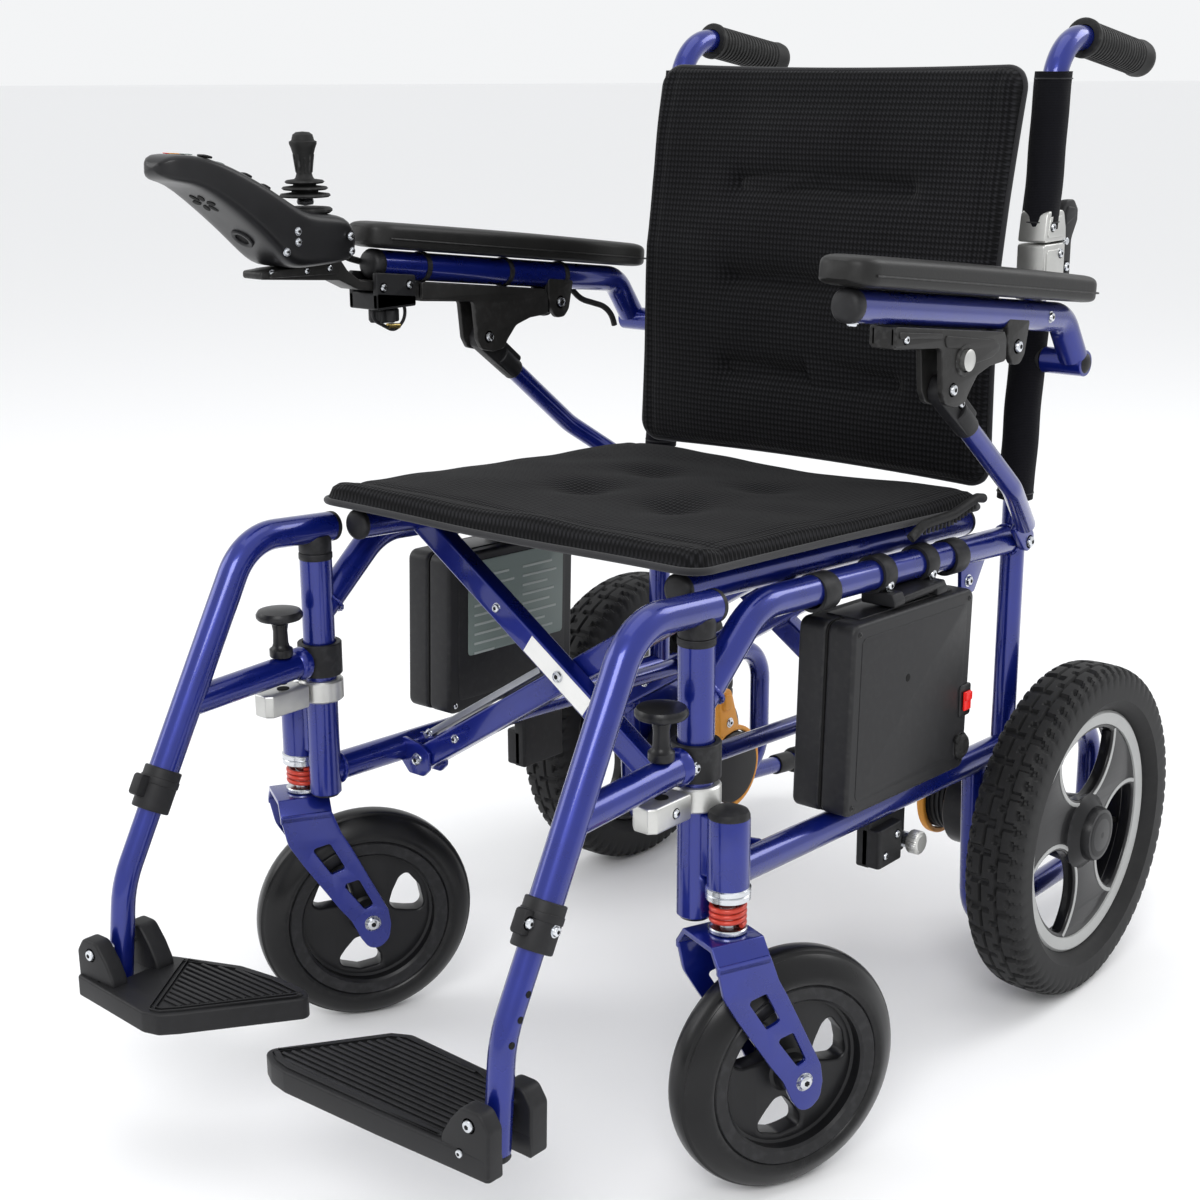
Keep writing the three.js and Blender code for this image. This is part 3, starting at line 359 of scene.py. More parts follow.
# ------------------------------------------------------------------ side frames
def weld(g, VFpoints, r): pass
for side, mir in SIDES:
    g = G("side_frame_detail_" + side)
    g.add(lathe([(9.4, 400), (9.4, 449), (13.2, 449), (14, 448.2), (14, 232.5), (13, 231.5), (0, 231.5)], (205.6, -221, 0), (0, 0, 1), 40), BLUE)
    g.add(lathe([(0, 233), (12.2, 233), (12.6, 231), (11.5, 229.6), (0, 229.4)], (205.6, -221, 0), (0, 0, 1), 32), PLASTIC)
    g.add(lathe([(9.5, 442), (9.5, 451), (14.2, 451), (14.6, 450), (14.6, 446), (14, 445)], (205.6, -221, 0), (0, 0, 1), 40), PLASTIC)
    g.add(lathe([(7.5, 300), (7.5, 262.2), (15.4, 262.2), (16.2, 263), (16.2, 317), (15.6, 318.5), (0, 318.5)], (236.5, -220.5, 0), (0, 0, 1), 40), BLUE)
    g.add(lathe([(0, 325.5), (9, 325), (14.6, 322.5), (16, 319.5), (16, 317.5), (0, 317.5)], (236.5, -220.5, 0), (0, 0, 1), 36), PLASTIC)
    # chrome lower collar with a knurled nut
    g.add(lathe([(7.5, 262), (7.5, 252.4), (15.5, 252.4), (17.2, 253.4), (17.2, 257.2), (16.2, 258.2), (17.4, 259), (17.4, 262.2), (16, 263)], (236.5, -220.5, 0), (0, 0, 1), 40), ZINC)
    g.add(prism("x", [(-229, 267), (-229, 317), (-212, 317), (-212, 267)], 214, 228, 3, 2), BLUE)
    # tubes
    g.add(tube([(205.3, -221, 396), (205, -147, sideZ(-147), 60), (205, 246, sideZ(246))], 12.7, 30), BLUE)
    g.add(tube([(205.6, -221, railZ(-221)), (205, 256, railZ(256))], 12.7, 30), BLUE)
    g.add(tube([(205, 240, railZ(240)), (205, 442, 211, 42), (205, 442, 66, 45), (205, 212, 66, 45), (205, 203, 240)], 11, 28), BLUE)
    g.add(tube([(205, 256, 232), (205, 257, 470, 150), (205, caneY(655), 655)], 11, 28), BLUE)
    # weld beads
    for c, d, r in (((205, 218.5 - 8, railZ(216) - 13), (0, 0, 1), 11), ((205.4, -208, 405.5), (0, 0.763, 0.647), 13.2), ((205.5, -207.4, railZ(-207)), (0, 1, -0.04), 13.2), ((205, 244, sideZ(246)), (0, 1, -0.05), 13.0)):
        dd = vec(*d) / np.linalg.norm(vec(*d)); e = vec(1, 0, 0); f = np.cross(dd, e)
        ring = [vec(*c) + (r + 0.4) * (e * math.cos(t) + f * math.sin(t)) + dd * 0.35 * math.sin(t * 17) for t in np.linspace(0, 2 * math.pi, 72, endpoint=False)]
        g.add(sweep_section(np.array(ring), circle(1.7, 8), ref=tuple(dd), closed=True), BLUE)
    # backrest hinge, lower casting, with its release lever lug
    g.add(prism("x", [(262, 650), (286, 650), (298, 662), (301, 670), (301, 699.2), (262, 699.2)], 191.5, 218.5, 3, 1.6), SILVER)
    g.add(prism("x", [(266, 655), (283, 655), (292, 664), (296, 672), (296, 694), (266, 694)], 190.6, 219.4, 3, 0.5), SILVER)
    g.add(prism("x", [(297, 664), (322, 664), (324, 672), (324, 686), (297, 692)], 196.5, 204.4, 3, 1), SILVER)
    for yz in ((272, 660), (291, 690)): g.bolt((219.4, *yz), (1, 0, 0), 3.6, 1.8)
    # armrest pin with its spacer and washer, and the strut boss
    g.add(rod((205, 268.4, 598.5), (257.5, 268.4, 598.5), 7, 24), ZINC); g.add(rod((207, 268.4, 598.5), (220, 268.4, 598.5), 10.5, 32), PLASTIC)
    g.add(lathe([(0, 1.5), (5, 1.2), (8.5, -1), (9.6, -3), (9.6, -5), (0, -5)], (262.5, 268.4, 598.5), (1, 0, 0), 32), PLASTIC)
    g.add(rod((205, 249, 436), (218.4, 249, 436), 8, 28), BLUE)
    # gusset and motor plate
    g.add(prism("x", [(163, 402), (172, 398), (186, 400), (206, 430), (206, 444), (160, 446)], 203, 207, 4, 0.6), BLUE)
    g.bolt((207.5, 174, 412), (1, 0, 0), 4.5, 3)
    hole = [(AX + 23 * math.cos(a), AZ + 23 * math.sin(a)) for a in np.linspace(0, 2 * math.pi, 40, endpoint=False)]
    g.add(prism("x", [(206, 104), (206, 230), (340, 224), (340, 106), (318, 88), (228, 88)], 203, 207, 8, 0.7, holes=[hole]), BLUE)
    for q in range(4): g.bolt((207.2, AX + 33 * math.cos(rad(45 + 90 * q)), AZ + 33 * math.sin(rad(45 + 90 * q))), (1, 0, 0), 4.2, 3)
    # battery hook clamp, lock block and latch catch
    for y in (24, 92):
        g.add(lathe([(12.9, -9), (15.6, -9), (16, -8.4), (16, 8.4), (15.6, 9), (12.9, 9)], (205, y, sideZ(y)), (0, 1, -0.058), 36), PLASTIC)
        g.add(prism("y", [(196, sideZ(y) - 13), (226, sideZ(y) - 13), (229, sideZ(y) - 19), (229, sideZ(y) - 24), (196, sideZ(y) - 24)], y - 8, y + 8, 2, 1), PLASTIC)
        g.bolt((218.5, y, sideZ(y) - 8), (1, 0, 0), 4.2, 2.6)
    g.add(prism("y", [(198, 423.8), (226, 423.8), (228, 427), (228, 431), (198, 434)], 30, 96, 2, 1), PLASTIC)
    g.add(block(191.5, 206, 26, 84, 186, 236, 3, 1.5), PLASTIC); g.add(block(195, 216, 26, 64, 186.5, 222, 4, 2), PLASTIC)
    g.bolt((216, 36, 197), (1, 0, 0), 3.4, 1.6); g.bolt((216, 54, 212), (1, 0, 0), 3.4, 1.6)
    g.add(prism("z", [(196, -243), (196, -284), (201, -289), (214, -289), (219, -284), (219, -243)], 318, 338, 2, 2), SILVER)
    g.add(lathe([(14.1, 319), (18, 319), (19.5, 320.5), (19.5, 336.5), (18, 338), (14.1, 338)], (205.6, -221, 0), (0, 0, 1), 40), SILVER)
    # painted shade: near-black disc in the latch pin hole
    g.add(lathe([(0, 338.6), (5.4, 338.6), (5.4, 333)], (206.6, -263.7, 0), (0, 0, 1), 24), PAINTED_SHADE)
    g.bolt((219, -262, 328), (1, 0, 0), 3.4, 2)
    # anti-tip tube, collar and rubber tip
    g.add(tube([(205, 424, 65), (205, 515, 54)], 9.5, 26), BLUE)
    g.add(tube([(205, 474, 59), (205, 503, 55.5)], 11.6, 28, edge=1.2), PLASTIC)
    g.add(tube([(205, 509, 54.6), (205, 545.5, 50)], 15, 32, edge=4), RUBBER)
    # seat rail saddles and brace clevises
    for v in (66, 269):
        V, F = prism("x", [(v - 9, 93.8), (v + 9, 93.8), (v + 9, 99.7), (v - 9, 99.7)], 159, 201, 1, 0.8); g.add(tilt((V, F)), PLASTIC)
        g.add(tilt(lathe([(12.9, -11), (15.4, -11), (15.8, -10), (15.8, 10), (15.4, 11), (12.9, 11)], (205, v, 96), (0, 1, 0), 36)), PLASTIC)
    for a_, b_ in ([(-9, 9), (302, 320)] if side == "left" else [(10, 28), (283, 301)]):
        for p_, q_ in ((a_ - 3.9, a_ - 0.4), (b_ + 0.4, b_ + 3.9)):
            g.add(tilt(prism("y", [(165, -124), (172, -131), (190, -131), (201, -120), (201, -98), (178, -101), (165, -108)], p_, q_, 4, 0.6)), BLUE)
        g.bolt(tp(180, a_ - 3.9, -116.8), (0, -1, FT), 5, 3); g.bolt(tp(180, b_ + 3.9, -116.8), (0, 1, -FT), 5, 4)
    g.make(side + "_frame", ["side_frame_" + side], mir)

# ------------------------------------------------------------------ cross brace
def bar(foot, top, hw, a, b, g, mat, r=3.0, extra0=11, extra1=3):
    f, t = vec(*foot), vec(*top); d = (t - f) / np.linalg.norm(t - f); n = vec(-d[1], d[0]); f2 = f - d * extra0; t2 = t + d * extra1
    pts = [tuple(f2 + n * hw) , tuple(f2 - n * hw), tuple(t2 - n * hw), tuple(t2 + n * hw)]
    g.add(tilt(prism("y", pts, a, b, r, 1.8)), mat)
for tag, arms, sx in (("a", [(-9, 9), (302, 320)], 1), ("b", [(10, 28), (283, 301)], -1)):
    g = G("cross_brace_detail_" + tag)
    for a_, b_ in arms:
        f, t = vec(180 * sx, -116.8), vec(-180 * sx, 116.8); d = (t - f) / np.linalg.norm(t - f); n = vec(-d[1], d[0]); L = np.linalg.norm(t - f) - 8
        pts = [tuple(f - d * 11 + n * 11) + (9,), tuple(f - d * 11 - n * 11) + (9,), tuple(f + d * L - n * 11) + (2,), tuple(f + d * L + n * 11) + (2,)]
        g.add(tilt(prism("y", pts, a_, b_, 3, 2.6, res=3)), BLUE)
        for s_ in (52, 300):
            p = f + d * s_; g.bolt(tp(p[0], a_, p[1]), (0, -1, FT), 3.8, 2.4)
        g.bolt(tp(0, a_ - 0.2, 0), (0, -1, FT), 5.2, 3) if a_ in (-9, 283) else None
    p0, p1 = tp(-173 * sx, -76, 113), tp(-173 * sx, 347, 113)
    g.add(tube([p0, p1], 12.7, 32), BLUE)
    for p, q in ((p0, -1), (p1, 1)):
        g.add(lathe([(0, 3.4), (9, 3), (12, 1.5), (13, 0), (13, -3), (12.6, -4)], p, (0, q * CT, -q * FT), 32), PLASTIC)
    f = vec(180 * sx, -116.8); d = vec(-180 * sx * 2, 233.6); d /= np.linalg.norm(d); c = f + d * 96
    g.add(tilt(tube([(c[0], arms[0][0] + 6, c[1]), (c[0], arms[1][1] - 6, c[1])], 8, 24)), BLUE)
    if tag == "a":
        # plain sticker on the front arm
        q0, q1 = f + d * 176, f + d * 256; nn = vec(-d[1], d[0])
        corners = [tuple(q0 - nn * 8.6), tuple(q1 - nn * 8.6), tuple(q1 + nn * 8.6), tuple(q0 + nn * 8.6)]
        V = np.array([tp(x, -9.35, w) for x, w in corners] + [tp(x, -9.05, w) for x, w in corners])
        st = G("plain_sticker"); st.add((V, [(0, 1, 2, 3), (7, 6, 5, 4), (0, 4, 5, 1), (1, 5, 6, 2), (2, 6, 7, 3), (3, 7, 4, 0)]), STICKER)
        ob = st.make("cross_brace_a"); uv = ob.data.uv_layers.new(name="UV")
        R_ = (np.array([v.co[:] for v in ob.data.vertices]) * 1000 - vec(XS, YS, 0))
        for lp in ob.data.loops:
            P_ = R_[lp.vertex_index]; w_ = (P_[2] - 359) ; x_ = P_[0]
            rel = vec(x_, (P_[2] - 359 + (-9.2) * FT) / CT) - (f + d * 176); uv.data[lp.index].uv = ((rel @ d) / 80, (rel @ nn) / 17.2 + 0.5)
    else:
        # bare aluminium stop bar under the far arm
        q = f + d * 14; q2 = f + d * 178; nn = vec(-d[1], d[0])
        pts = [tuple(q + nn * 14), tuple(q + nn * 20), tuple(q2 + nn * 20), tuple(q2 + nn * 14)]
        g.add(tilt(prism("y", pts, 12, 26, 1.5, 0.8)), GREY)
        g.bolt(tp(*(lambda z: (z[0], 12, z[1]))(q + nn * 17 + d * 8)), (0, -1, FT), 3.4, 2)
    g.make("cross_brace_" + tag, ["cross_brace_" + tag])

# ------------------------------------------------------------------ push canes, grips, levers
for side, mir in SIDES:
    g = G("push_cane_detail_" + side)
    g.add(tube([(205, caneY(701), 701.5), (205, 292.6, 881.7, 46), (205, 448, 856.6)], 11, 30), BLUE)
    g.add(prism("x", [(262, 700.8), (302, 700.8), (301, 712), (296, 728, 6), (266, 728, 6)], 191.5, 218.5, 2, 1.6), SILVER)
    g.add(prism("x", [(266, 705), (296, 705), (295, 713), (291, 723), (270, 723)], 190.6, 219.4, 2, 0.5), SILVER)
    g.bolt((219.4, 274, 714), (1, 0, 0), 3.6, 1.8)
    g.add(rod((190, 302, 699.9), (220, 302, 699.9), 3.2, 16), ZINC)
    g.make(side + "_push_cane", ["push_cane_" + side], mir)
    g = G("push_grip_detail_" + side)
    a, b = vec(205, 338, 874.5), vec(205, 459, 855.0); d = (b - a) / np.linalg.norm(b - a); L = np.linalg.norm(b - a)
    prof = [(11.4, 0), (16.2, 0), (17.6, 1.6), (17.6, 5), (16.0, 7)]
    x = 12
    while x < L - 18:
        prof += [(16.2, x - 3.6), (15.1, x - 3.0), (15.1, x - 1.4), (16.2, x - 0.8)]; x += 5.2
    prof += [(16.4, L - 14), (17.2, L - 9), (16.6, L - 4), (14.0, L - 1.0), (9, L), (0, L)]
    g.add(lathe(prof, a, d, 40), RUBBER)
    g.make(side + "_push_cane", ["push_grip_" + side], mir)
    g = G("cane_lever_detail_" + side)
    g.add(prism("x", [(320, 664, 6), (311, 665, 6), (305.5, 678), (304.2, 700), (304.2, 726, 6), (312, 735, 6), (326, 735, 6), (334, 726, 4), (334, 716, 3), (324, 700, 12), (324, 668, 4)], 205.2, 212.8, 4, 1.6), PLASTIC)
    g.add(prism("x", [(309, 712), (328, 720), (327, 728), (313, 730), (308, 722)], 203.6, 214.4, 3, 1.6), PLASTIC)
    g.bolt((212.8, 316, 676), (1, 0, 0), 4.2, 2.2)
    g.make(side + "_cane_lever", ["cane_lever_" + side], mir)

# ------------------------------------------------------------------ armrests
SL = math.atan(0.126); cS, sS = math.cos(SL), math.sin(SL)
for side, mir in SIDES:
    g = G("armrest_tube_detail_" + side)
    g.add(tube([(250, -101.5, 684), (250, 238, armZ(238), 30), (250, 264, 605)], 12.7, 32), BLUE)
    g.add(lathe([(0, 4.6), (8, 4.2), (11.6, 2.6), (13.3, 0), (13.3, -7), (12.7, -8)], (250, -101.5, 684), (0, -cS, sS), 36), PLASTIC)
    g.add(lathe([(7.6, 221), (10.9, 221), (11.6, 221.8), (11.6, 260.4), (10.9, 261.2), (7.6, 261.2)], (0, 268.4, 598.5), (1, 0, 0), 40), BLUE)
    cheek = [(123, 653), (160, 648), (153, 620, 8), (146, 613, 8), (134, 613, 8), (127, 622, 6), (123, 634)]
    g.add(prism("x", cheek, 237.8, 243.2, 3, 1), CASTING); g.add(prism("x", cheek, 256.8, 262.2, 3, 1), CASTING)
    g.bolt((262.2, 140, 628), (1, 0, 0), 5, 3.4); g.bolt((237.8, 140, 628), (-1, 0, 0), 5, 3)
    g.bolt((250, -93, 684 - 0.126 * 8.5 - 13), (0, -sS, -cS), 4, 2.4)
    g.bolt((262.4, 196, armZ(196)), (1, 0, 0), 4, 2.4)
    if side == "right":
        g.add(prism("x", [(-112, 644.5), (-64, 644.5), (-64, 672), (-112, 678)], 232, 237.4, 2, 1), PLASTIC)
        g.add(prism("x", [(-112, 644.5), (-64, 644.5), (-64, 672), (-112, 678)], 262.6, 268, 2, 1), PLASTIC)
        g.add(prism("x", [(-112, 644.5), (-64, 644.5), (-64, 654.0), (-112, 660)], 232, 268, 2, 1), PLASTIC)
        for y in (-104, -72): g.bolt((232, y, 664), (-1, 0, 0), 3.6, 2)
        # small cable loop with a ferrule under the arm
        g.add(tube([(246, -71, 654), (245, -62, 634, 14), (245, -80, 622, 12), (245, -108, 636, 10), (245, -104, 650)], 1.6, 10, 8), PLASTIC)
        g.add(tube([(245, -74, 626.3), (245, -88, 627.6)], 2.6, 12, 8), BRASS)
    g.make(side + "_armrest", ["armrest_tube_" + side], mir)
    # pad: rounded section along the tube with a moulded seam
    g = G("armrest_pad_detail_" + side)
    n = 44; ys = np.concatenate([np.linspace(0, 22, 9), np.linspace(30, 356, 22), np.linspace(364, 386, 9)]); pts = []; sc = []
    def sec(t):
        out = []
        for i in range(n):
            a = 2 * math.pi * i / n; cx, sx = math.cos(a), math.sin(a); e = 0.42
            hx, hz = 24.6, 11.6
            out.append((math.copysign(abs(cx) ** e, cx) * hx * t, math.copysign(abs(sx) ** (0.55 if sx > 0 else 0.3), sx) * hz * t))
        return out
    V = []; base = vec(250, -118, armZ(-118)) + vec(0, sS, cS) * 13.6; dd = vec(0, cS, -sS); nn = vec(0, sS, cS)
    rows = []
    for y in ys:
        e0 = min(y, 386 - y); t = 1 if e0 > 22 else math.sqrt(max(0.0, 1 - (1 - e0 / 22) ** 2)); t = max(t, 0.06)
        tz = 0.55 + 0.45 * t
        crown = 1.2 * math.sin(math.pi * y / 386)
        rows.append([base + dd * y + vec(1, 0, 0) * (a * (0.35 + 0.65 * t)) + nn * (11.8 + (b + (crown if b > 0 else 0)) * tz) for a, b in sec(1.0)])
    V = np.vstack(rows); m_ = len(ys); F = []
    for i in range(m_ - 1):
        for q in range(n): r = (q + 1) % n; F.append((i * n + q, i * n + r, (i + 1) * n + r, (i + 1) * n + q))
    F += [tuple(range(n)), tuple((m_ - 1) * n + q for q in range(n - 1, -1, -1))]
    g.add((V, F), SKIN)
    # stitched seam line round the pad
    seam = []
    for y in np.linspace(4, 382, 60): seam.append((24.9, y))
    loop = [(24.7, y) for y in np.linspace(16, 370, 50)] + [(24.7 - 9 * (1 - math.cos(a)) , 370 + 14 * math.sin(a)) for a in np.linspace(0.2, math.pi / 2, 6)] + [(-(24.7 - 9 * (1 - math.cos(a))), 370 + 14 * math.sin(a)) for a in np.linspace(math.pi / 2, 0.2, 6)] + [(-24.7, y) for y in np.linspace(370, 16, 50)]
    lp = np.array([base + dd * y + vec(1, 0, 0) * x_ + nn * 9.2 for x_, y in loop])
    g.add(sweep_section(lp, circle(0.9, 8), ref=tuple(nn)), SKIN)
    ob = g.make(side + "_armrest", ["armrest_pad_" + side], mir)
    # bracket casting
    g = G("armrest_bracket_detail_" + side)
    outer = [(-50, 664, 2), (118, 642.6, 2), (122, 636, 3), (122, 618, 4), (96, 617, 8), (76, 612, 10), (64, 600, 6), (58, 592, 6), (44, 590, 8), (28, 594, 6), (22, 604, 6), (18, 640, 6), (-50, 648, 2)]
    for lo, hi in ((238, 243.2), (256.8, 262)): g.add(prism("x", outer, lo, hi, 2, 1.0), CASTING)
    g.add(prism("x", [(-50, 663.6), (118, 642.2), (121, 636), (118, 634.6), (96, 634), (14, 640), (-50, 646.5)], 240, 260, 1, 0.8), CASTING)
    g.add(prism("x", [(108, 640), (140, 639, 10), (151, 628, 10), (140, 617, 10), (108, 619)], 243.8, 256.2, 2, 1), CASTING)
    # raised ribs and stepped channel on the outer face
    g.add(prism("x", [(-46, 659.5), (16, 652.0), (16, 648), (-46, 654.5)], 261.6, 263.4, 1, 0.6), CASTING)
    g.add(prism("x", [(20, 650), (100, 638), (112, 630), (96, 624), (70, 622), (62, 634), (24, 640)], 261.4, 263.2, 3, 0.7), CASTING)
    g.add(lathe([(9.9, 263.8), (12.4, 263.8), (13, 263), (13, 260), (9.9, 260)], (0, 53, 627), (1, 0, 0), 36), CASTING)
    g.bolt((262, 37, 605), (1, 0, 0), 4.6, 3); g.bolt((238, 37, 605), (-1, 0, 0), 4.6, 3); g.bolt((262, -36, 652.6), (1, 0, 0), 3.2, 2)
    g.make(side + "_armrest_bracket", ["armrest_bracket_" + side], mir)
    g = G("armrest_button_detail_" + side)
    g.add(lathe([(0, 268.4), (7.2, 268.4), (8.8, 267.4), (8.2, 266), (8.2, 257.6), (0, 257.6)], (0, 53, 627), (1, 0, 0), 36), SILVER)
    g.make(side + "_armrest_button", ["armrest_button_" + side], mir)
    g = G("armrest_strut_detail_" + side)
    g.add(tube([(250, 70, 577.7), (250, 165, 503, 60), (229.5, 232, 456)], 9, 28), BLUE)
    g.add(prism("x", [(44, 615.5, 4), (90, 579, 3), (76, 561, 3), (29, 596, 4), (27, 604, 8), (33, 615, 8)], 244, 256, 3, 1.6), PLASTIC)
    g.add(tube([(250, 62, 584), (250, 84, 566.7)], 10.4, 26, edge=1.5), PLASTIC)
    g.add(prism("x", [(222, 450, 3), (238, 464, 3), (257.5, 443, 8), (258, 434, 8), (249, 426, 8), (240, 430, 6)], 219.2, 226, 4, 1.6), BLUE)
    g.bolt((226, 249, 436), (1, 0, 0), 5, 3.4); g.bolt((256, 62, 590), (1, 0, 0), 3.4, 2.2)
    g.make(side + "_armrest_strut", ["armrest_strut_" + side], mir)

# ------------------------------------------------------------------ footrests
E = vec(208, -409, 272); D = vec(0, -0.483, -0.8756)
for side, mir in SIDES:
    g = G("footrest_hanger_detail_" + side)
    g.add(tube([(206, -200, 470), (206.5, -296, 477, 50), tuple(E)], 12.7, 32), BLUE)
    g.add(lathe([(0, 3.0), (8, 2.6), (11.6, 1.4), (12.9, 0), (12.9, -4)], (206, -200, 470), (0, 0.997, -0.07), 32), PLASTIC)
    g.add(rod((205.6, -221, 404), (205.6, -221, 470), 8.6, 28), PLASTIC)
    g.add(lathe([(8.6, 451.5), (13.8, 451.5), (14.2, 452.5), (14.2, 462), (12.6, 466), (8.6, 467)], (205.6, -221, 0), (0, 0, 1), 36), PLASTIC)
    g.add(lathe([(14.9, 342.3), (18.6, 342.3), (19.3, 343.2), (19.3, 370.2), (18.6, 371), (14.9, 371)], (205.6, -221, 0), (0, 0, 1), 40), PLASTIC)
    g.add(tube([(206, -238, 356), (207.4, -362, 350.7)], 12, 30), BLUE)
    g.bolt((218, -237, 355.5), (1, 0, 0), 4, 2.6)
    g.add(tube([tuple(E - D * 34), tuple(E + D * 1.5)], 15.5, 36, edge=1.4), PLASTIC)
    g.add(tube([tuple(E - D * 26), tuple(E - D * 20)], 16.2, 36, edge=0.8), PLASTIC)
    c = E - D * 16
    g.add(prism("x", [tuple((c + D * 9 + vec(0, -0.8756, 0.483) * 12)[1:]), tuple((c + D * 9 + vec(0, -0.8756, 0.483) * 24)[1:]), tuple((c - D * 9 + vec(0, -0.8756, 0.483) * 24)[1:]), tuple((c - D * 9 + vec(0, -0.8756, 0.483) * 12)[1:])], 203, 213, 3, 1.2), PLASTIC)
    b_ = c + vec(0, -0.8756, 0.483) * 18; g.bolt((213, b_[1], b_[2]), (1, 0, 0), 4, 3)
    g.bolt((223.5, c[1], c[2]), (1, 0, 0), 3.8, 2.6)
    # ring at the weld of the stub
    g.add(lathe([(0, 0), (14.5, 0), (14.5, 6), (12.2, 9)], (206, -241, 355.8), (0, -1, -0.04), 32), BLUE)
    g.make(side + "_footrest_hanger", ["footrest_hanger_" + side], mir)
    g = G("footrest_latch_detail_" + side)
    g.add(lathe([(0, 342.4), (3.6, 342.4), (4.8, 344), (4.8, 367.3), (9.5, 367.3), (10, 368.2), (10, 374), (7.5, 376), (6.6, 379), (6.2, 390), (7.2, 396), (12, 399.2), (18.6, 400.6), (20, 402.4), (20, 405), (18.2, 407.8), (10, 409.4), (0, 409.8)], (206.6, -263.7, 0), (0, 0, 1), 40), SATIN)
    g.make(side + "_footrest_latch", ["footrest_latch_" + side], mir)
    g = G("footrest_tube_detail_" + side)
    g.add(tube([tuple(E - D * 70), (208, -440, 216, 90), (209, -449, 131)], 9.9, 28), BLUE)
    # painted shade: near-black discs for the adjustment holes along the tube
    for q in range(3):
        p = E - D * (-30 - 18 * q); g.add(lathe([(0, 0.25), (2.6, 0.25), (2.6, -1)], p + vec(9.8, 0, 0), (1, 0, 0), 16), PAINTED_SHADE)
    g.add(lathe([(0, 0), (9.2, 0), (10.2, 1), (10.2, 4), (9.9, 5)], (209, -449, 129.4), (0, -0.1, 0.99), 28), PLASTIC)
    g.make(side + "_footrest_tube", ["footrest_tube_" + side], mir)
def offset_poly(pts, d):
    out = []; n = len(pts)
    area = sum(pts[i][0] * pts[(i + 1) % n][1] - pts[(i + 1) % n][0] * pts[i][1] for i in range(n)); sgn = 1 if area > 0 else -1
    for i in range(n):
        a, b, c = vec(*pts[i - 1][:2]), vec(*pts[i][:2]), vec(*pts[(i + 1) % n][:2])
        u = (b - a) / np.linalg.norm(b - a); w = (c - b) / np.linalg.norm(c - b); n1 = vec(-u[1], u[0]) * sgn; n2 = vec(-w[1], w[0]) * sgn
        m_ = n1 + n2; m_ /= np.linalg.norm(m_); out.append(tuple(b + m_ * d / max(0.35, m_ @ n1)))
    return out
plateL = [(-12, -466, 8), (8, -477, 8), (25, -480, 6), (120, -479, 8), (186, -477, 4), (226, -476, 4), (226, -461, 1), (191, -461, 1), (191, -433, 1), (226, -433, 1), (226, -415, 4), (196, -404, 6), (187, -398, 6), (139, -383, 8), (58, -379, 10), (43, -387, 10)]
plateR = [(107, -471, 8), (118, -483, 8), (132, -487, 8), (190, -482, 4), (226, -479, 4), (226, -461, 1), (191, -461, 1), (191, -433, 1), (226, -433, 1), (226, -415, 4), (196, -408, 4), (187, -404, 6), (135, -383, 8), (94, -378, 8), (60, -380, 10), (47, -388, 10)]
for side, mir, pl in (("left", False, plateL), ("right", True, plateR)):
    g = G("footplate_detail_" + side)
    g.add(prism("z", pl, 127, 145.2, 2, 2.2, res=3), PLASTIC)
    # raised border and long ribs, cut to the outline
    inner = [(x_, y_) for x_, y_ in (p[:2] for p in pl) if not (x_ > 188 and -462 < y_ < -432) and x_ < 200]
    rim = fillet([(p[0], p[1], 8) for p in pl if p[0] < 188] + [(178, -392, 4)] if False else [(p[0], p[1], 8) for p in pl if p[0] < 188], 6)
    big = offset_poly(rim, 4.5); small = offset_poly(rim, 9)
    V, F = plate2d(big, [small], 2.4, 0.6); g.add(put((V, F), (0, 0, 145.8), (1, 0, 0), (0, 1, 0)), PLASTIC)
    # ribs along y
    def inside_range(x_):
        ys_ = []
        n = len(small)
        for i in range(n):
            a, b = small[i], small[(i + 1) % n]
            if (a[0] - x_) * (b[0] - x_) < 0: ys_.append(a[1] + (b[1] - a[1]) * (x_ - a[0]) / (b[0] - a[0]))
        return (min(ys_), max(ys_)) if len(ys_) >= 2 else None
    def x_range(y_):
        xs_ = []
        n = len(small)
        for i in range(n):
            a, b = small[i], small[(i + 1) % n]
            if (a[1] - y_) * (b[1] - y_) < 0: xs_.append(a[0] + (b[0] - a[0]) * (y_ - a[1]) / (b[1] - a[1]))
        return (min(xs_), max(xs_)) if len(xs_) >= 2 else None
    y_ = -468
    while y_ < -384:
        xr = x_range(y_)
        if xr and xr[1] - xr[0] > 22:
            g.add(block(xr[0] + 3, min(xr[1] - 3, 176), y_ - 1.5, y_ + 1.5, 144.2, 146.9, 1.2, 0.6), PLASTIC)
        y_ += 5.8
    for y0, y1 in ((-476, -461.2), (-432.8, -415)):
        g.add(prism("y", [(186, 129, 3), (226, 129, 3), (227, 166, 6), (219, 178, 8), (202, 178, 8), (190, 164, 10), (180, 147, 14)], y0, y1, 3, 2.2, res=3), PLASTIC)
    g.bolt((209, -476, 166), (0, -1, 0), 4.6, 2.6); g.bolt((209, -415, 166), (0, 1, 0), 4.6, 2.6)
    g.bolt((200, -476, 142), (0, -1, 0), 3.2, 2)
    g.make(side + "_footplate", ["footplate_" + side], mir)
    # hinge pin through the blocks and the tube foot
    g = G("footplate_pin_" + side); g.add(rod((209, -462, 166), (209, -432, 166), 3.2, 16), ZINC)
    g.make(side + "_footplate", (), mir)

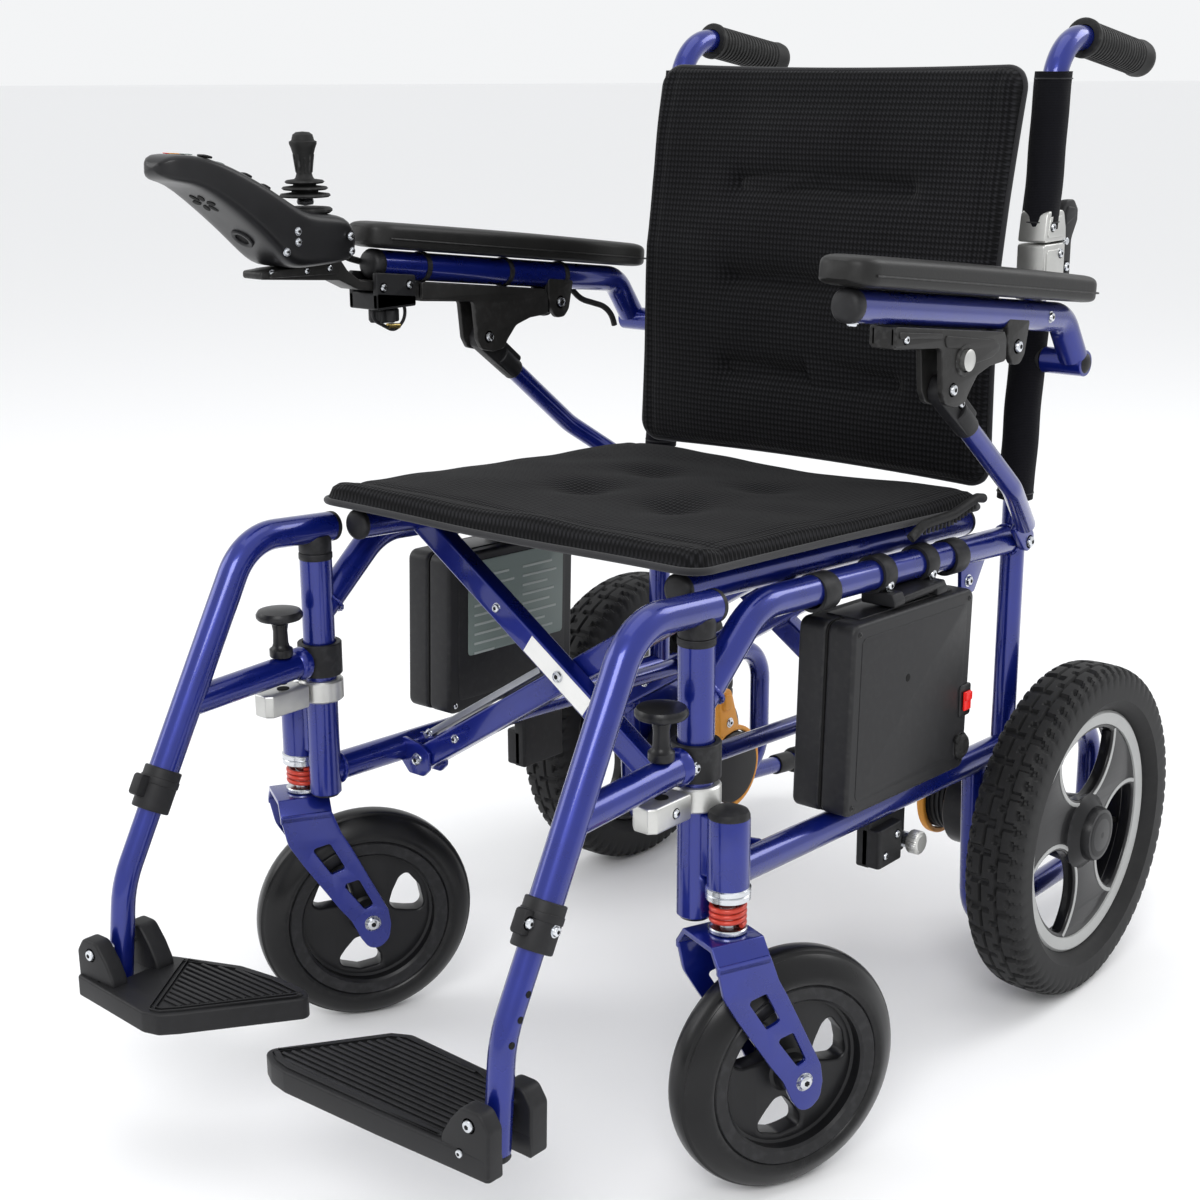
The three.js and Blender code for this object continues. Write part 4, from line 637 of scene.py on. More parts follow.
# ------------------------------------------------------------------ casters
forkSide = [(-27, 214, 2), (-26.5, 209), (-21.7, 186.5, 20), (-8.9, 165, 20), (21, 120, 16), (32.5, 104.6, 14), (41, 86, 10), (48, 76, 12), (58, 75, 12), (67, 83, 12), (69, 97, 10), (67, 111, 12), (34.5, 177.6, 14), (26.9, 191.3, 14), (21, 207.5), (18.5, 214, 2)]
forkHoles = [[(-0.5, 179.5), (15.6, 183), (29, 157), (16.4, 153)], [(26.1, 141.5), (40.6, 144.4), (53.2, 118), (45.2, 114.6)]]
for side, sgn, sw in (("left", 1, 21.6), ("right", -1, 30.2)):
    a = rad(sw); t = vec(math.sin(a), math.cos(a), 0); n = vec(math.cos(a), -math.sin(a), 0); o = vec(sgn * 236.5, -220.5, 0); c = o + t * 51.8 + vec(0, 0, 100)
    g = G("caster_fork_detail_" + side)
    for lo, hi in ((27.0, 31.2), (-31.2, -27.0)):
        V, F = plate2d(fillet(forkSide, 6, 10), [fillet(h, 2.6) for h in forkHoles], hi - lo, 0.8)
        V = V + vec(0, 0, (lo + hi) / 2)
        W = o + V[:, :1] * t + V[:, 1:2] * vec(0, 0, 1) + V[:, 2:3] * n; g.add((W, F), BLUE)
    crown = [(-31.2, 206), (-31.2, 212), (-20.6, 225.8), (20.6, 225.8), (31.2, 212), (31.2, 206), (27.2, 206), (27.2, 210.6), (19.0, 221.4), (-19.0, 221.4), (-27.2, 210.6), (-27.2, 206)]
    V, F = plate2d(fillet(crown, 2.4), [], 46, 0.6); V = V + vec(0, 0, -4)
    W = o + V[:, 2:3] * t + V[:, 1:2] * vec(0, 0, 1) + V[:, :1] * n; g.add((W, F), BLUE)
    # the side plates' upper shoulders
    for sg in (1, -1):
        g.add(lathe([(0, 3.6), (3.4, 3.4), (5.2, 2.4), (5.6, 0), (7.6, 0), (7.6, -1), (0, -1)], c + n * 31.2 * sg, n * sg, 24), ZINC)
        # painted shade: near-black disc in the axle bolt socket
        g.add(lathe([(0, 3.8), (2.4, 3.8), (2.4, 3)], c + n * 31.2 * sg, n * sg, 6), PAINTED_SHADE)
        g.add(lathe([(5, 0), (8, 0), (8, -3.6), (5, -3.6)], c + n * 27.0 * sg, n * sg, 24), ZINC)
    g.add(tube([tuple(c - n * 31), tuple(c + n * 31)], 4.2, 16), ZINC)
    g.make(side + "_caster_fork", ["caster_fork_" + side])
    g = G("caster_wheel_detail_" + side)
    tp_ = []
    for q in range(0, 41):
        s_ = q / 40; w_ = -21.5 + 43 * s_; ph = (w_ / 21.5)
        r_ = 99.9 - 18.0 * abs(ph) ** 2.6
        tp_.append((r_, w_))
    grooved = []
    for r_, w_ in tp_:
        for gw in (-10.5, 10.5):
            if abs(w_ - gw) < 1.1: r_ -= 1.5
        grooved.append((r_, w_))
    prof = [(74, -20), (76.5, -22.2), (79.5, -22.4)] + grooved[1:-1] + [(79.5, 22.4), (76.5, 22.2), (74, 20), (72, 16), (72, -16)]
    g.add(lathe(prof, c, n, 96, ref=(0, 0, 1), closed=True), CASTOR)
    # rim: dish with three rounded windows
    face = []
    R0 = 62; disc = [(R0 * math.cos(x), R0 * math.sin(x)) for x in np.linspace(0, 2 * math.pi, 96, endpoint=False)]
    wins = []
    for i in range(3):
        pts = []
        for r_, dg in ((22, 8), (31, 27), (44, 35), (53, 33), (54.5, 12), (54.5, -8), (49, -14), (38, -13), (26, -8)):
            an = rad(i * 120 + 40 + dg); pts.append((r_ * math.cos(an), r_ * math.sin(an)))
        wins.append(fillet(pts, 7, 12))
    V, F = plate2d(disc, wins, 18, 2.4, 3); e = vec(0, 0, 1); f_ = np.cross(n, e)
    g.add((c + V[:, :1] * e + V[:, 1:2] * f_ + V[:, 2:3] * n, F), SATIN)
    g.add(lathe([(61.2, -10), (61.2, -18.6), (63.4, -20.6), (73, -21.2), (74.6, -19.6), (74.6, 19.6), (73, 21.2), (63.4, 20.6), (61.2, 18.6), (61.2, 10), (58, 8.6), (58, -8.6)], c, n, 96, ref=(0, 0, 1), closed=True), SATIN)
    for sg in (1, -1):
        g.add(lathe([(4.6, 25.6), (7.6, 25.6), (8, 25), (8, 22), (13.4, 21.6), (14.4, 20.6), (15.6, 11), (18.5, 8.4), (4.6, 8.4)], c, n * sg, 40), SATIN)
    g.make(side + "_caster_wheel", ["caster_wheel_" + side])
    # stem and spring
    mir = sgn < 0
    g = G("caster_stem_detail_" + side)
    g.add(lathe([(0, 300), (5.8, 300), (6.8, 299), (6.8, 231), (14.2, 230.4), (15, 229.6), (15, 227.2), (14.2, 226.4), (6.8, 226.4), (6.8, 221), (9.6, 220.8), (9.6, 213), (8.6, 212), (0, 212)], (236.5, -220.5, 0), (0, 0, 1), 32), ZINC)
    g.make(side + "_caster_stem", ["caster_stem_" + side], mir)
    g = G("caster_spring_detail_" + side); turns = 3.6; z0, z1 = 233.2, 249.8; N_ = 150; pts = []
    for i in range(N_ + 1):
        q = i / N_; an = 2 * math.pi * turns * q; zz = z0 + (z1 - z0) * q
        pts.append(vec(236.5 + 12.4 * math.cos(an), -220.5 + 12.4 * math.sin(an), zz))
    g.add(sweep_section(np.array(pts), circle(2.1, 10)), SPRING)
    ob = g.make(side + "_frame", ["caster_spring_" + side], mir)
    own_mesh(ob)

# ------------------------------------------------------------------ drive wheels
for side, mir in SIDES:
    c = (265, AX, AZ)
    g = G("drive_tyre_detail_" + side)
    K = 24; half = []
    def tread(r, h, an, q):
        ph = (an * 36 / (2 * math.pi)) % 1.0; hh = h
        if r < 141: return r
        skew = 0.22 * math.sin(abs(hh) / 26 * math.pi)
        p1 = (ph + skew * (1 if hh > 0 else -1) + (0.5 if hh > 0 else 0)) % 1.0
        if abs(hh) < 7: v = 1 if ((ph + 0.25 * (1 if hh > 0 else -1)) % 1.0) < 0.78 else 0
        elif abs(hh) < 8.6: v = 0
        elif abs(hh) < 16.5: v = 1 if p1 < 0.72 else 0
        elif abs(hh) < 17.8: v = 0.3
        else: v = 1 if ((p1 * 2) % 1.0) < 0.62 else 0
        return r - (1 - v) * (3.2 if abs(hh) < 20 else 2.4)
    prof = [(116, -17), (118, -21), (122, -25)]
    for q in range(0, 47):
        ph = -1 + 2 * q / 46; hgt = 28.3 * math.sin(ph * math.pi / 2 * 1.0); 
        rr = 127 + 31.0 * max(0.0, 1 - abs(ph) ** 2.9) ** 0.5 if abs(ph) < 1 else 127
        prof.append((rr, hgt))
    prof += [(122, 25), (118, 21), (116, 17)]
    g.add(lathe(prof, c, (1, 0, 0), 432, ref=(0, 0, 1), closed=True, mod=tread), TYRE)
    g.make(side + "_drive_wheel", ["drive_tyre_" + side], mir, smooth=28)
    g = G("drive_rim_detail_" + side)
    R0 = 103.5; disc = [(R0 * math.cos(x), R0 * math.sin(x)) for x in np.linspace(0, 2 * math.pi, 120, endpoint=False)]
    wins = []; arcs = []
    for deg in (93, 218, 340):
        base_a = rad(deg); ca_, sa_ = math.cos(base_a), math.sin(base_a)
        # round opening, cut off by the rim; a silver line runs round it
        pw = [(84 - 50 * math.cos(f_), 50 * math.sin(f_)) for f_ in np.linspace(-1.63, 1.63, 41)]
        pw = [p for p in pw if math.hypot(*p) <= 98.5]
        e_ = math.atan2(pw[-1][1], pw[-1][0]); pw += [(98.5 * math.cos(g_), 98.5 * math.sin(g_)) for g_ in np.linspace(e_, -e_, 17)[1:-1]]
        wins.append([(p[0] * ca_ - p[1] * sa_, p[0] * sa_ + p[1] * ca_) for p in pw])
        pa = [(84 - 54.5 * math.cos(f_), 54.5 * math.sin(f_)) for f_ in np.linspace(-1.6, 1.6, 33)]
        pa = [p for p in pa if math.hypot(*p) <= 103]
        arcs.append([(p[0] * ca_ - p[1] * sa_, p[0] * sa_ + p[1] * ca_) for p in pa])
    V, F = plate2d(disc, wins, 12, 2.0, 3)
    y_, z_ = vec(0, 1, 0), vec(0, 0, 1); o = vec(274, AX, AZ)
    g.add((o + V[:, :1] * y_ + V[:, 1:2] * z_ + V[:, 2:3] * vec(1, 0, 0), F), ALLOY)
    for arc in arcs:
        P2 = []
        # smooth the arc with a Catmull-Rom pass
        pts = [vec(*p) for p in arc]
        for i in range(len(pts) - 1):
            p0, p1, p2, p3 = pts[max(i - 1, 0)], pts[i], pts[i + 1], pts[min(i + 2, len(pts) - 1)]
            for tt in np.linspace(0, 1, 9, endpoint=False):
                P2.append(0.5 * ((2 * p1) + (-p0 + p2) * tt + (2 * p0 - 5 * p1 + 4 * p2 - p3) * tt ** 2 + (-p0 + 3 * p1 - 3 * p2 + p3) * tt ** 3))
        P2.append(pts[-1]); P3 = np.array([vec(279.6, AX + p[0], AZ + p[1]) for p in P2])
        g.add(sweep_section(P3, [(-0.7, -2.2), (0.9, -1.8), (1.3, 0), (0.9, 1.8), (-0.7, 2.2)], ref=(1, 0, 0)), RIMSILVER)
    # silver ring and rim barrel
    g.add(lathe([(102, 279), (102.6, 281.6), (108, 282.6), (113.4, 283.2), (115.6, 281.6), (116, 279)], (0, AX, AZ), (1, 0, 0), 120), RIMSILVER)
    g.add(lathe([(103, 268), (103, 278.5), (102.2, 280), (115.8, 280), (116.2, 277), (116.2, 252), (115, 248), (111, 247), (111, 250), (106, 252), (105, 262), (103.4, 266)], (0, AX, AZ), (1, 0, 0), 120, closed=True), ALLOY)
    g.add(lathe([(26, 268), (34, 274), (36, 280), (33, 283), (26, 288), (25.5, 293), (24, 296), (12, 297.6), (0, 297.8)], (0, AX, AZ), (1, 0, 0), 64), SATIN)
    g.add(lathe([(0, 297.9), (20, 296.9), (21, 296.6)], (0, AX, AZ), (1, 0, 0), 48), PLASTIC)
    g.add(lathe([(34, 270), (32, 262), (30, 246), (29, 243.5), (9, 243.5), (9, 262)], (0, AX, AZ), (1, 0, 0), 64), ALLOY)
    for i in range(5):
        an = rad(i * 72 + 54); g.bolt((280.4, AX + 29 * math.cos(an), AZ + 29 * math.sin(an)), (1, 0, 0), 2.8, 1.8)
    # valve
    g.add(rod((262, AX + 88, AZ - 20), (262, AX + 100, AZ - 24), 3, 12), RUBBER)
    g.make(side + "_drive_wheel", ["drive_rim_" + side], mir)
    # motor with ribbed housing and gearbox
    my, mz = MOT[side]
    g = G("drive_motor_detail_" + side)
    prof = [(0, 100), (30, 100), (36.5, 101), (38.4, 103.4)]
    xx = 114
    prof += [(38.4, xx)]
    while xx < 146: prof += [(38.4, xx), (36.6, xx + 1), (36.6, xx + 2.6), (38.4, xx + 3.6)]; xx += 5.2
    prof += [(38.4, 150), (0, 150)]
    g.add(lathe(prof, (0, my, mz), (1, 0, 0), 56), PLASTIC)
    L = math.hypot(my - AX, mz - AZ); uy, uz = (my - AX) / L, (mz - AZ) / L; out = []
    for k in range(0, 19): an = math.atan2(uz, uy) - math.pi / 2 + math.pi * k / 18; out.append((my + 41.5 * math.cos(an), mz + 41.5 * math.sin(an)))
    for k in range(0, 19): an = math.atan2(uz, uy) + math.pi / 2 + math.pi * k / 18; out.append((AX + 41.5 * math.cos(an), AZ + 41.5 * math.sin(an)))
    g.add(prism("x", out, 150, 193, 0, 2.4), SATIN)
    for k in range(6):
        an = math.atan2(uz, uy) - math.pi / 2 + math.pi * (k + 0.5) / 3; cc = (my, mz) if k < 3 else (AX, AZ); g.bolt((193, cc[0] + 36 * math.cos(an), cc[1] + 36 * math.sin(an)), (1, 0, 0), 3, 2.2)
    g.add(lathe([(18, 193), (18, 201), (12, 202), (8.1, 203), (8.1, 262), (0, 262)], (0, AX, AZ), (1, 0, 0), 40), ZINC)
    g.make(side + "_frame", ["drive_motor_" + side], mir)
    # clutch lever
    g = G("clutch_lever_detail_" + side)
    off = 10 if side == "left" else 0
    lever = [(10 + off, 41), (-2 + off, 78), (-6 + off, 88), (-20 + off, 89), (-28 + off, 80), (-25 + off, 36)]
    ring = [(45 * math.cos(x), 45 * math.sin(x)) for x in np.linspace(0, 2 * math.pi, 60, endpoint=False)]
    inr = [(39.6 * math.cos(x), 39.6 * math.sin(x)) for x in np.linspace(0, 2 * math.pi, 60, endpoint=False)]
    V, F = plate2d(ring, [inr], 8, 1.6); g.add((vec(108, my, mz) + V[:, 2:3] * vec(1, 0, 0) + V[:, :1] * y_ + V[:, 1:2] * z_, F), ORANGE)
    g.add(prism("x", [(my + p[0], mz + p[1]) for p in lever], 103.4, 112.6, 7, 2.4, res=3), ORANGE)
    g.add(prism("x", [(my + off - 22, mz + 66), (my + off - 4, mz + 66), (my + off - 8, mz + 84), (my + off - 20, mz + 84)], 100.8, 115.2, 5, 2.4, res=3), ORANGE)
    g.bolt((102.6, my + off - 9, mz + 52), (-1, 0, 0), 4.2, 2)
    g.make(side + "_clutch_lever", ["clutch_lever_" + side], mir)

# ------------------------------------------------------------------ batteries
for side, mir in SIDES:
    yc, zc, hy, hz = (44, 339, 95, 81) if side == "left" else (-2, 345, 86, 75)
    ta = rad(-2.1)
    def bt(pts): return [(yc + p[0] * math.cos(ta) - p[1] * math.sin(ta), zc + p[0] * math.sin(ta) + p[1] * math.cos(ta)) + tuple(p[2:]) for p in pts]
    g = G("battery_detail_" + side)
    rect = [(-hy, -hz, 9), (hy, -hz, 9), (hy, hz, 9), (-hy, hz, 9)]
    g.add(prism("x", bt(rect), 178, 205, 9, 4, res=4), BATT)
    # painted shade: a near-black slab in the gap between the two case halves
    g.add(prism("x", bt([(p[0] * 0.997, p[1] * 0.996, 9) for p in rect]), 204.4, 206.2, 9, 0.3), PAINTED_SHADE)
    g.add(prism("x", bt(rect), 205.6, 232, 9, 4, res=4), BATT)
    g.add(prism("x", bt([(-hy + 12, -hz + 12, 6), (hy - 12, -hz + 12, 6), (hy - 12, hz - 12, 6), (-hy + 12, hz - 12, 6)]), 231.4, 232.5, 6, 0.4), BATT)
    g.add(prism("x", bt([(-hy + 12, -hz + 12, 6), (hy - 12, -hz + 12, 6), (hy - 12, hz - 12, 6), (-hy + 12, hz - 12, 6)]), 177.5, 178.6, 6, 0.4), BATT)
    for q in ((-hy + 8, -hz + 8), (hy - 8, -hz + 8), (hy - 8, hz - 8), (-hy + 8, hz - 8)):
        b_ = bt([q])[0]; g.bolt((178.0, b_[0], b_[1]), (-1, 0, 0), 2.6, 1.0); g.bolt((231.9, b_[0], b_[1]), (1, 0, 0), 2.6, 0.8, mat=SATIN)
    # painted shade: near-black disc in a small hole on the outer face
    b_ = bt([(-10, 22)])[0]; g.add(lathe([(0, 0.4), (3, 0.4), (3.4, 0), (3.4, -0.6)], (232.5, b_[0], b_[1]), (1, 0, 0), 24), PAINTED_SHADE)
    if side == "left":
        # socket plate, rocker frame and port rim near the rear edge
        g.add(prism("x", [(121, 303, 3), (139.5, 303, 3), (139.5, 332, 3), (121, 332, 3)], 231, 233.9, 3, 0.8), SATIN)
        g.add(lathe([(12.6, 232), (12.6, 232.6), (11.6, 233), (10.8, 232.4)], (0, 127, 276), (1, 0, 0), 40), SATIN)
    else:
        lab = bt([(-62, -22), (70, -22), (70, 66), (-62, 66)])
        g.add(prism("x", [(p[0], p[1], 4) for p in lab], 177.0, 178.2, 4, 0.1), LABEL)
        # generic ruled lines on the label, no lettering
        for k in range(9):
            z_ = 50 - 9 * k; w_ = (52, 60, 44, 56, 48, 60, 40, 54, 30)[k]
            for lo_, hi_ in ((-54, -54 + w_ * 0.9), (12, 12 + w_ * 0.8)):
                q = bt([(lo_, z_), (hi_, z_), (hi_, z_ + 2.2), (lo_, z_ + 2.2)]); g.add(prism("x", q, 176.7, 177.2, 0, 0.05), LABELD)
    # top handle slot
    q = bt([(-hy + 22, hz - 1.5), (hy - 22, hz - 1.5), (hy - 22, hz + 1.0), (-hy + 22, hz + 1.0)]); g.add(prism("x", q, 190, 222, 0.6, 0.4), SATIN)
    g.make(side + "_battery", ["battery_" + side], mir)
g = G("battery_switch_detail")
g.add(prism("x", [(125, 309, 1), (136, 309, 1), (136, 326, 1), (125, 326, 1)], 234.4, 236.6, 1, 0.7), RED)
g.add(prism("x", [(125.4, 318, 1), (135.6, 318, 1), (135.6, 325.6, 1), (125.4, 325.6, 1)], 236, 238, 1, 0.8), RED)
g.make("battery_switch", ["battery_switch"])
g = G("charge_cover_detail")
g.add(lathe([(0, 236.8), (8.6, 236.8), (9.4, 236.2), (10.4, 235.6), (11, 234.8), (11, 233), (0, 233)], (0, 127, 276), (1, 0, 0), 44), RUBBER)
g.add(lathe([(7.2, 237.1), (6.4, 237.1), (6.2, 236.6), (7.4, 236.6)], (0, 127, 276), (1, 0, 0), 40, closed=True), RUBBER)
g.add(prism("x", [(112.6, 285, 4), (121, 289.4, 4), (125, 283, 2), (119, 279, 2)], 233, 236, 2, 0.8), RUBBER)
g.make("charge_cover", ["charge_cover"])
g = G("battery_lock_knob_detail")
g.add(rod((206.5, 76, 199), (217, 76, 199), 7, 26), ZINC)
def knurl(r, h, an, q): return r - (0.5 if (int(an / (2 * math.pi) * 72) % 2 and r > 9.5) else 0)
g.add(lathe([(0, 228), (7.4, 228), (8, 227.4), (9.4, 227.2), (10.5, 226), (10.5, 218), (9.6, 216.8), (0, 216.8)], (0, 76, 199), (1, 0, 0), 144, mod=knurl), SILVER)
g.make("battery_lock", ["battery_lock_knob"])

# ------------------------------------------------------------------ control box
CX = -242
topN = vec(0, 17, 41) / math.hypot(17, 41)
prof = [(-340, 777), (-333, 786), (-321, 788.4), (-300, 784.6), (-259, 767), (-230, 750), (-208, 738.6), (-180, 734), (-160, 731), (-151, 722), (-148.5, 712), (-147, 698), (-150, 693), (-221, 690), (-232, 693), (-306, 763)]
def prof_at(s_): return prof
g = G("controller_body_detail")
# one moulded body: outline in y-z, its width swelling towards the middle
top = [(-341, 780), (-334, 786.5), (-322, 788.4), (-300, 784.8), (-280, 777), (-259, 767.2), (-240, 757), (-222, 746.6), (-208, 739), (-195, 735.8), (-180, 734), (-165, 732), (-156, 728), (-150, 719), (-147.6, 708)]
bot = [(-341, 774), (-335, 768.4), (-327, 766), (-312, 762.6), (-290, 748), (-272, 734), (-256, 721), (-240, 706), (-230, 697), (-221, 691.4), (-210, 690), (-190, 690.4), (-172, 691), (-155, 692.4), (-148.6, 697)]
wid = [9, 17, 23, 27.6, 30.4, 31.6, 32, 31.6, 31, 30.6, 30.4, 30, 29, 27, 24]
n = 40; rows = []
for (ty, tz), (by, bz), w in zip(top, bot, wid):
    row = []; cy_, cz_ = (ty + by) / 2, (tz + bz) / 2; hy_, hz_ = (ty - by) / 2, (tz - bz) / 2
    for i in range(n):
        a = 2 * math.pi * i / n; ca, sa = math.cos(a), math.sin(a); e = 0.34
        x_ = math.copysign(abs(ca) ** e, ca); s_ = math.copysign(abs(sa) ** e, sa)
        row.append((CX + w * x_, cy_ + hy_ * s_, cz_ + hz_ * s_))
    rows.append(row)
V = np.array([p for r in rows for p in r]); F = []
for i in range(len(rows) - 1):
    for q in range(n): r = (q + 1) % n; F.append((i * n + q, i * n + r, (i + 1) * n + r, (i + 1) * n + q))
F += [tuple(range(n)), tuple((len(rows) - 1) * n + q for q in range(n - 1, -1, -1))]
body = (V, F)
g.add(body, SATIN)
ob = g.make("controller", ["controller_body"], smooth=50, subsurf=1)
g = G("controller_details")
botN = vec(0, -0.66, -0.75)
def on_bottom(y):
    for (y0, z0), (y1, z1) in zip(bot[:-1], bot[1:]):
        if y0 <= y <= y1: return z0 + (z1 - z0) * (y - y0) / (y1 - y0)
# speaker petals and a round port on the sloping underside; the petal slots and the port centre are near-black painted
# shade
def slope(y): return vec(0, 5, on_bottom(y + 2.5) - on_bottom(y - 2.5)) / np.linalg.norm(vec(0, 5, on_bottom(y + 2.5) - on_bottom(y - 2.5)))
sd = slope(-291); nb = np.cross(sd, vec(1, 0, 0)); nb = nb if nb[2] < 0 else -nb
cc = vec(CX, -290, on_bottom(-290))
for k in range(6):
    an = k * math.pi / 3; u_ = vec(1, 0, 0) * math.cos(an) + sd * math.sin(an); v_ = np.cross(nb, u_)
    pts = [(3.2, 0), (6, 2.6), (9.5, 3.2), (12.5, 2.0), (13.2, 0), (12.5, -2.0), (9.5, -3.2), (6, -2.6)]
    V, F = plate2d(fillet(pts, 1.4), [], 0.8, 0.15); g.add((cc + nb * 0.5 + V[:, :1] * u_ + V[:, 1:2] * v_ + V[:, 2:3] * nb, F), PAINTED_SHADE)
c2 = vec(CX, -252, on_bottom(-252)); sd2 = slope(-252); nb2 = np.cross(sd2, vec(1, 0, 0)); nb2 = nb2 if nb2[2] < 0 else -nb2
g.add(lathe([(0, -1), (6, -1), (6.4, 1.6), (7.6, 2.2), (9.6, 2.2), (10.4, 1.4), (10.4, -1)], c2, nb2, 36), PLASTIC)
# painted shade: near-black disc in the port centre
g.add(lathe([(0, 0.2), (6, 0.2)], c2, nb2, 24), PAINTED_SHADE)
for y in (-219, -160): g.bolt((CX + 31.0, y, on_bottom(y) + 22), (1, 0, 0), 2.8, 1.2)
for y, z in ((-219, 722), (-156, 701), (-232, 706)): g.bolt((CX + 31.2 if y != -156 else CX + 27.5, y, z), (1, 0, 0), 2.8, 1.2)
# keypad panel with blank keys and a charge bar on top
def on_top(y):
    for (y0, z0), (y1, z1) in zip(top[:-1], top[1:]):
        if y0 <= y <= y1: return z0 + (z1 - z0) * (y - y0) / (y1 - y0)
def topframe(y):
    d = vec(0, 8, on_top(y + 4) - on_top(y - 4)); d /= np.linalg.norm(d); nn_ = np.cross(vec(1, 0, 0), d); return vec(CX, y, on_top(y)), d, nn_ if nn_[2] > 0 else -nn_
for y, xs in ((-262, (-18, 18)), (-243, (-18, 0, 18)), (-300, (-16, 16))):
    for x_ in xs:
        p, d, nn_ = topframe(y); V, F = plate2d(fillet([(-6, -4.5), (6, -4.5), (6, 4.5), (-6, 4.5)], 3), [], 1.6, 0.5)
        g.add((p + vec(x_, 0, 0) + nn_ * 0.5 + V[:, :1] * vec(1, 0, 0) + V[:, 1:2] * d + V[:, 2:3] * nn_, F), PLASTIC)
p, d, nn_ = topframe(-318 + 4)
for k in range(5):
    V, F = plate2d(fillet([(-2.6, -2), (2.6, -2), (2.6, 2), (-2.6, 2)], 0.8), [], 0.6, 0.15)
    g.add((p + vec(-14 + 7 * k, 0, 0) + nn_ * 0.3 + V[:, :1] * vec(1, 0, 0) + V[:, 1:2] * d + V[:, 2:3] * nn_, F), (RED, ORANGE, ORANGE, LABEL, LABEL)[k])
g.add(lathe([(0, 733), (20, 733), (22.5, 735), (22.6, 736.6), (21, 738), (14, 738.6), (9, 738.4), (0, 738.4)], (CX, -182, 0), (0, 0, 1), 48), RUBBER)
g.make("controller", ())
g = G("power_button_detail"); bp_ = vec(CX + 8, -280, 775.7)
g.add(lathe([(0, 3.2), (4.6, 3.0), (6.2, 2.4), (7, 1.2), (7, -2), (0, -2)], bp_, topN, 36), PLASTIC)
g.add(lathe([(3.6, 3.5), (4.2, 3.5), (4.2, 2.6), (3.6, 2.6)], bp_, topN, 32, closed=True), LABEL)
g.make("power_button", ["power_button"])
g = G("controller_mount_detail")
g.add(prism("x", [(-238, 682), (-238, 688.4), (-221, 689.4), (-148, 692.3), (-140, 682), (-126, 672.4), (-60, 664.2), (-60, 655.2), (-128, 663.8), (-150, 674)], -262, -238, 2.5, 1.4), CASTING)
g.add(prism("x", [(-236, 683), (-221, 689), (-150, 691), (-152, 680)], -265, -235, 3, 1), CASTING)
for y in (-226, -212): g.bolt((-238, y, 686 + (y + 226) * -0.05), (1, 0, 0), 2.8, 1.6)
for y in (-190, -164): g.bolt((-235, y, 686), (1, 0, 0), 2.8, 1.6)
g.make("controller", ["controller_mount"])
g = G("mount_knob_detail")
g.add(rod((-250, -88, 642), (-250, -88, 655.5), 4, 18), ZINC)
star = []
for i in range(84):
    a = 2 * math.pi * i / 84; r_ = 12.4 + 1.7 * math.cos(7 * a); star.append((-250 + r_ * math.cos(a), -88 + r_ * math.sin(a)))
g.add(prism("z", star, 631, 643, 0, 1.8, res=3), PLASTIC)
g.add(lathe([(0, 630.2), (5, 630.4), (7, 631.4)], (-250, -88, 0), (0, 0, 1), 28), SATIN)
g.make("mount_knob", ["mount_knob"])
g = G("joystick_gimbal_detail"); g.add(lathe([(0, 739.5), (6.5, 740.4), (7.5, 743), (6.5, 745.5), (0, 745.5)], (CX, -182, 0), (0, 0, 1), 32), ZINC)
g.make("joystick_gimbal", ["joystick_gimbal"])
g = G("joystick_lever_detail")
g.add(lathe([(10, 750), (15, 747.2), (20, 746.6), (21.6, 747.8), (20.6, 749.4), (11.5, 750.6), (11, 751.8), (18, 752.6), (19.6, 753.8), (18.4, 755.2), (10, 756.2), (9.6, 757.2), (15.4, 758), (16.8, 759.2), (15.4, 760.6), (8.6, 761.6), (7.4, 763), (6.6, 766), (6.8, 772), (8.2, 780), (10.2, 787), (11.6, 790.5), (11.6, 792.4), (9.6, 793.4), (9.2, 795), (8.4, 798), (5.6, 800), (0, 800.6)], (CX, -182, 0), (0, 0, 1), 56), RUBBER)
for k in range(10):
    a = 2 * math.pi * k / 10
    V, F = tube([(CX + 6.4 * math.cos(a), -182 + 6.4 * math.sin(a), 767), (CX + 8.4 * math.cos(a), -182 + 8.4 * math.sin(a), 782)], 0.9, 8); g.add((V, F), RUBBER)
g.make("joystick", ["joystick_lever"])
# cable clipped along the arm
g = G("controller_cable_detail")
g.add(tube([(-252, -150, 700), (-258, -118, 689, 14), (-267, -96, 684, 20), (-267, 172, armZ(172), 30), (-260, 196, 624, 30), (-252, 234, 612, 30), (-252, 240, 594)], 3, 16, 5), RUBBER)
for y in (-40, 70, 150):
    g.add(lathe([(13.0, -3), (13.8, -3), (13.8, 3), (13.0, 3)], (-250, y, armZ(y)), (0, cS, -sS), 36, closed=True), PLASTIC)
g.make("right_armrest", ["controller_cable"])

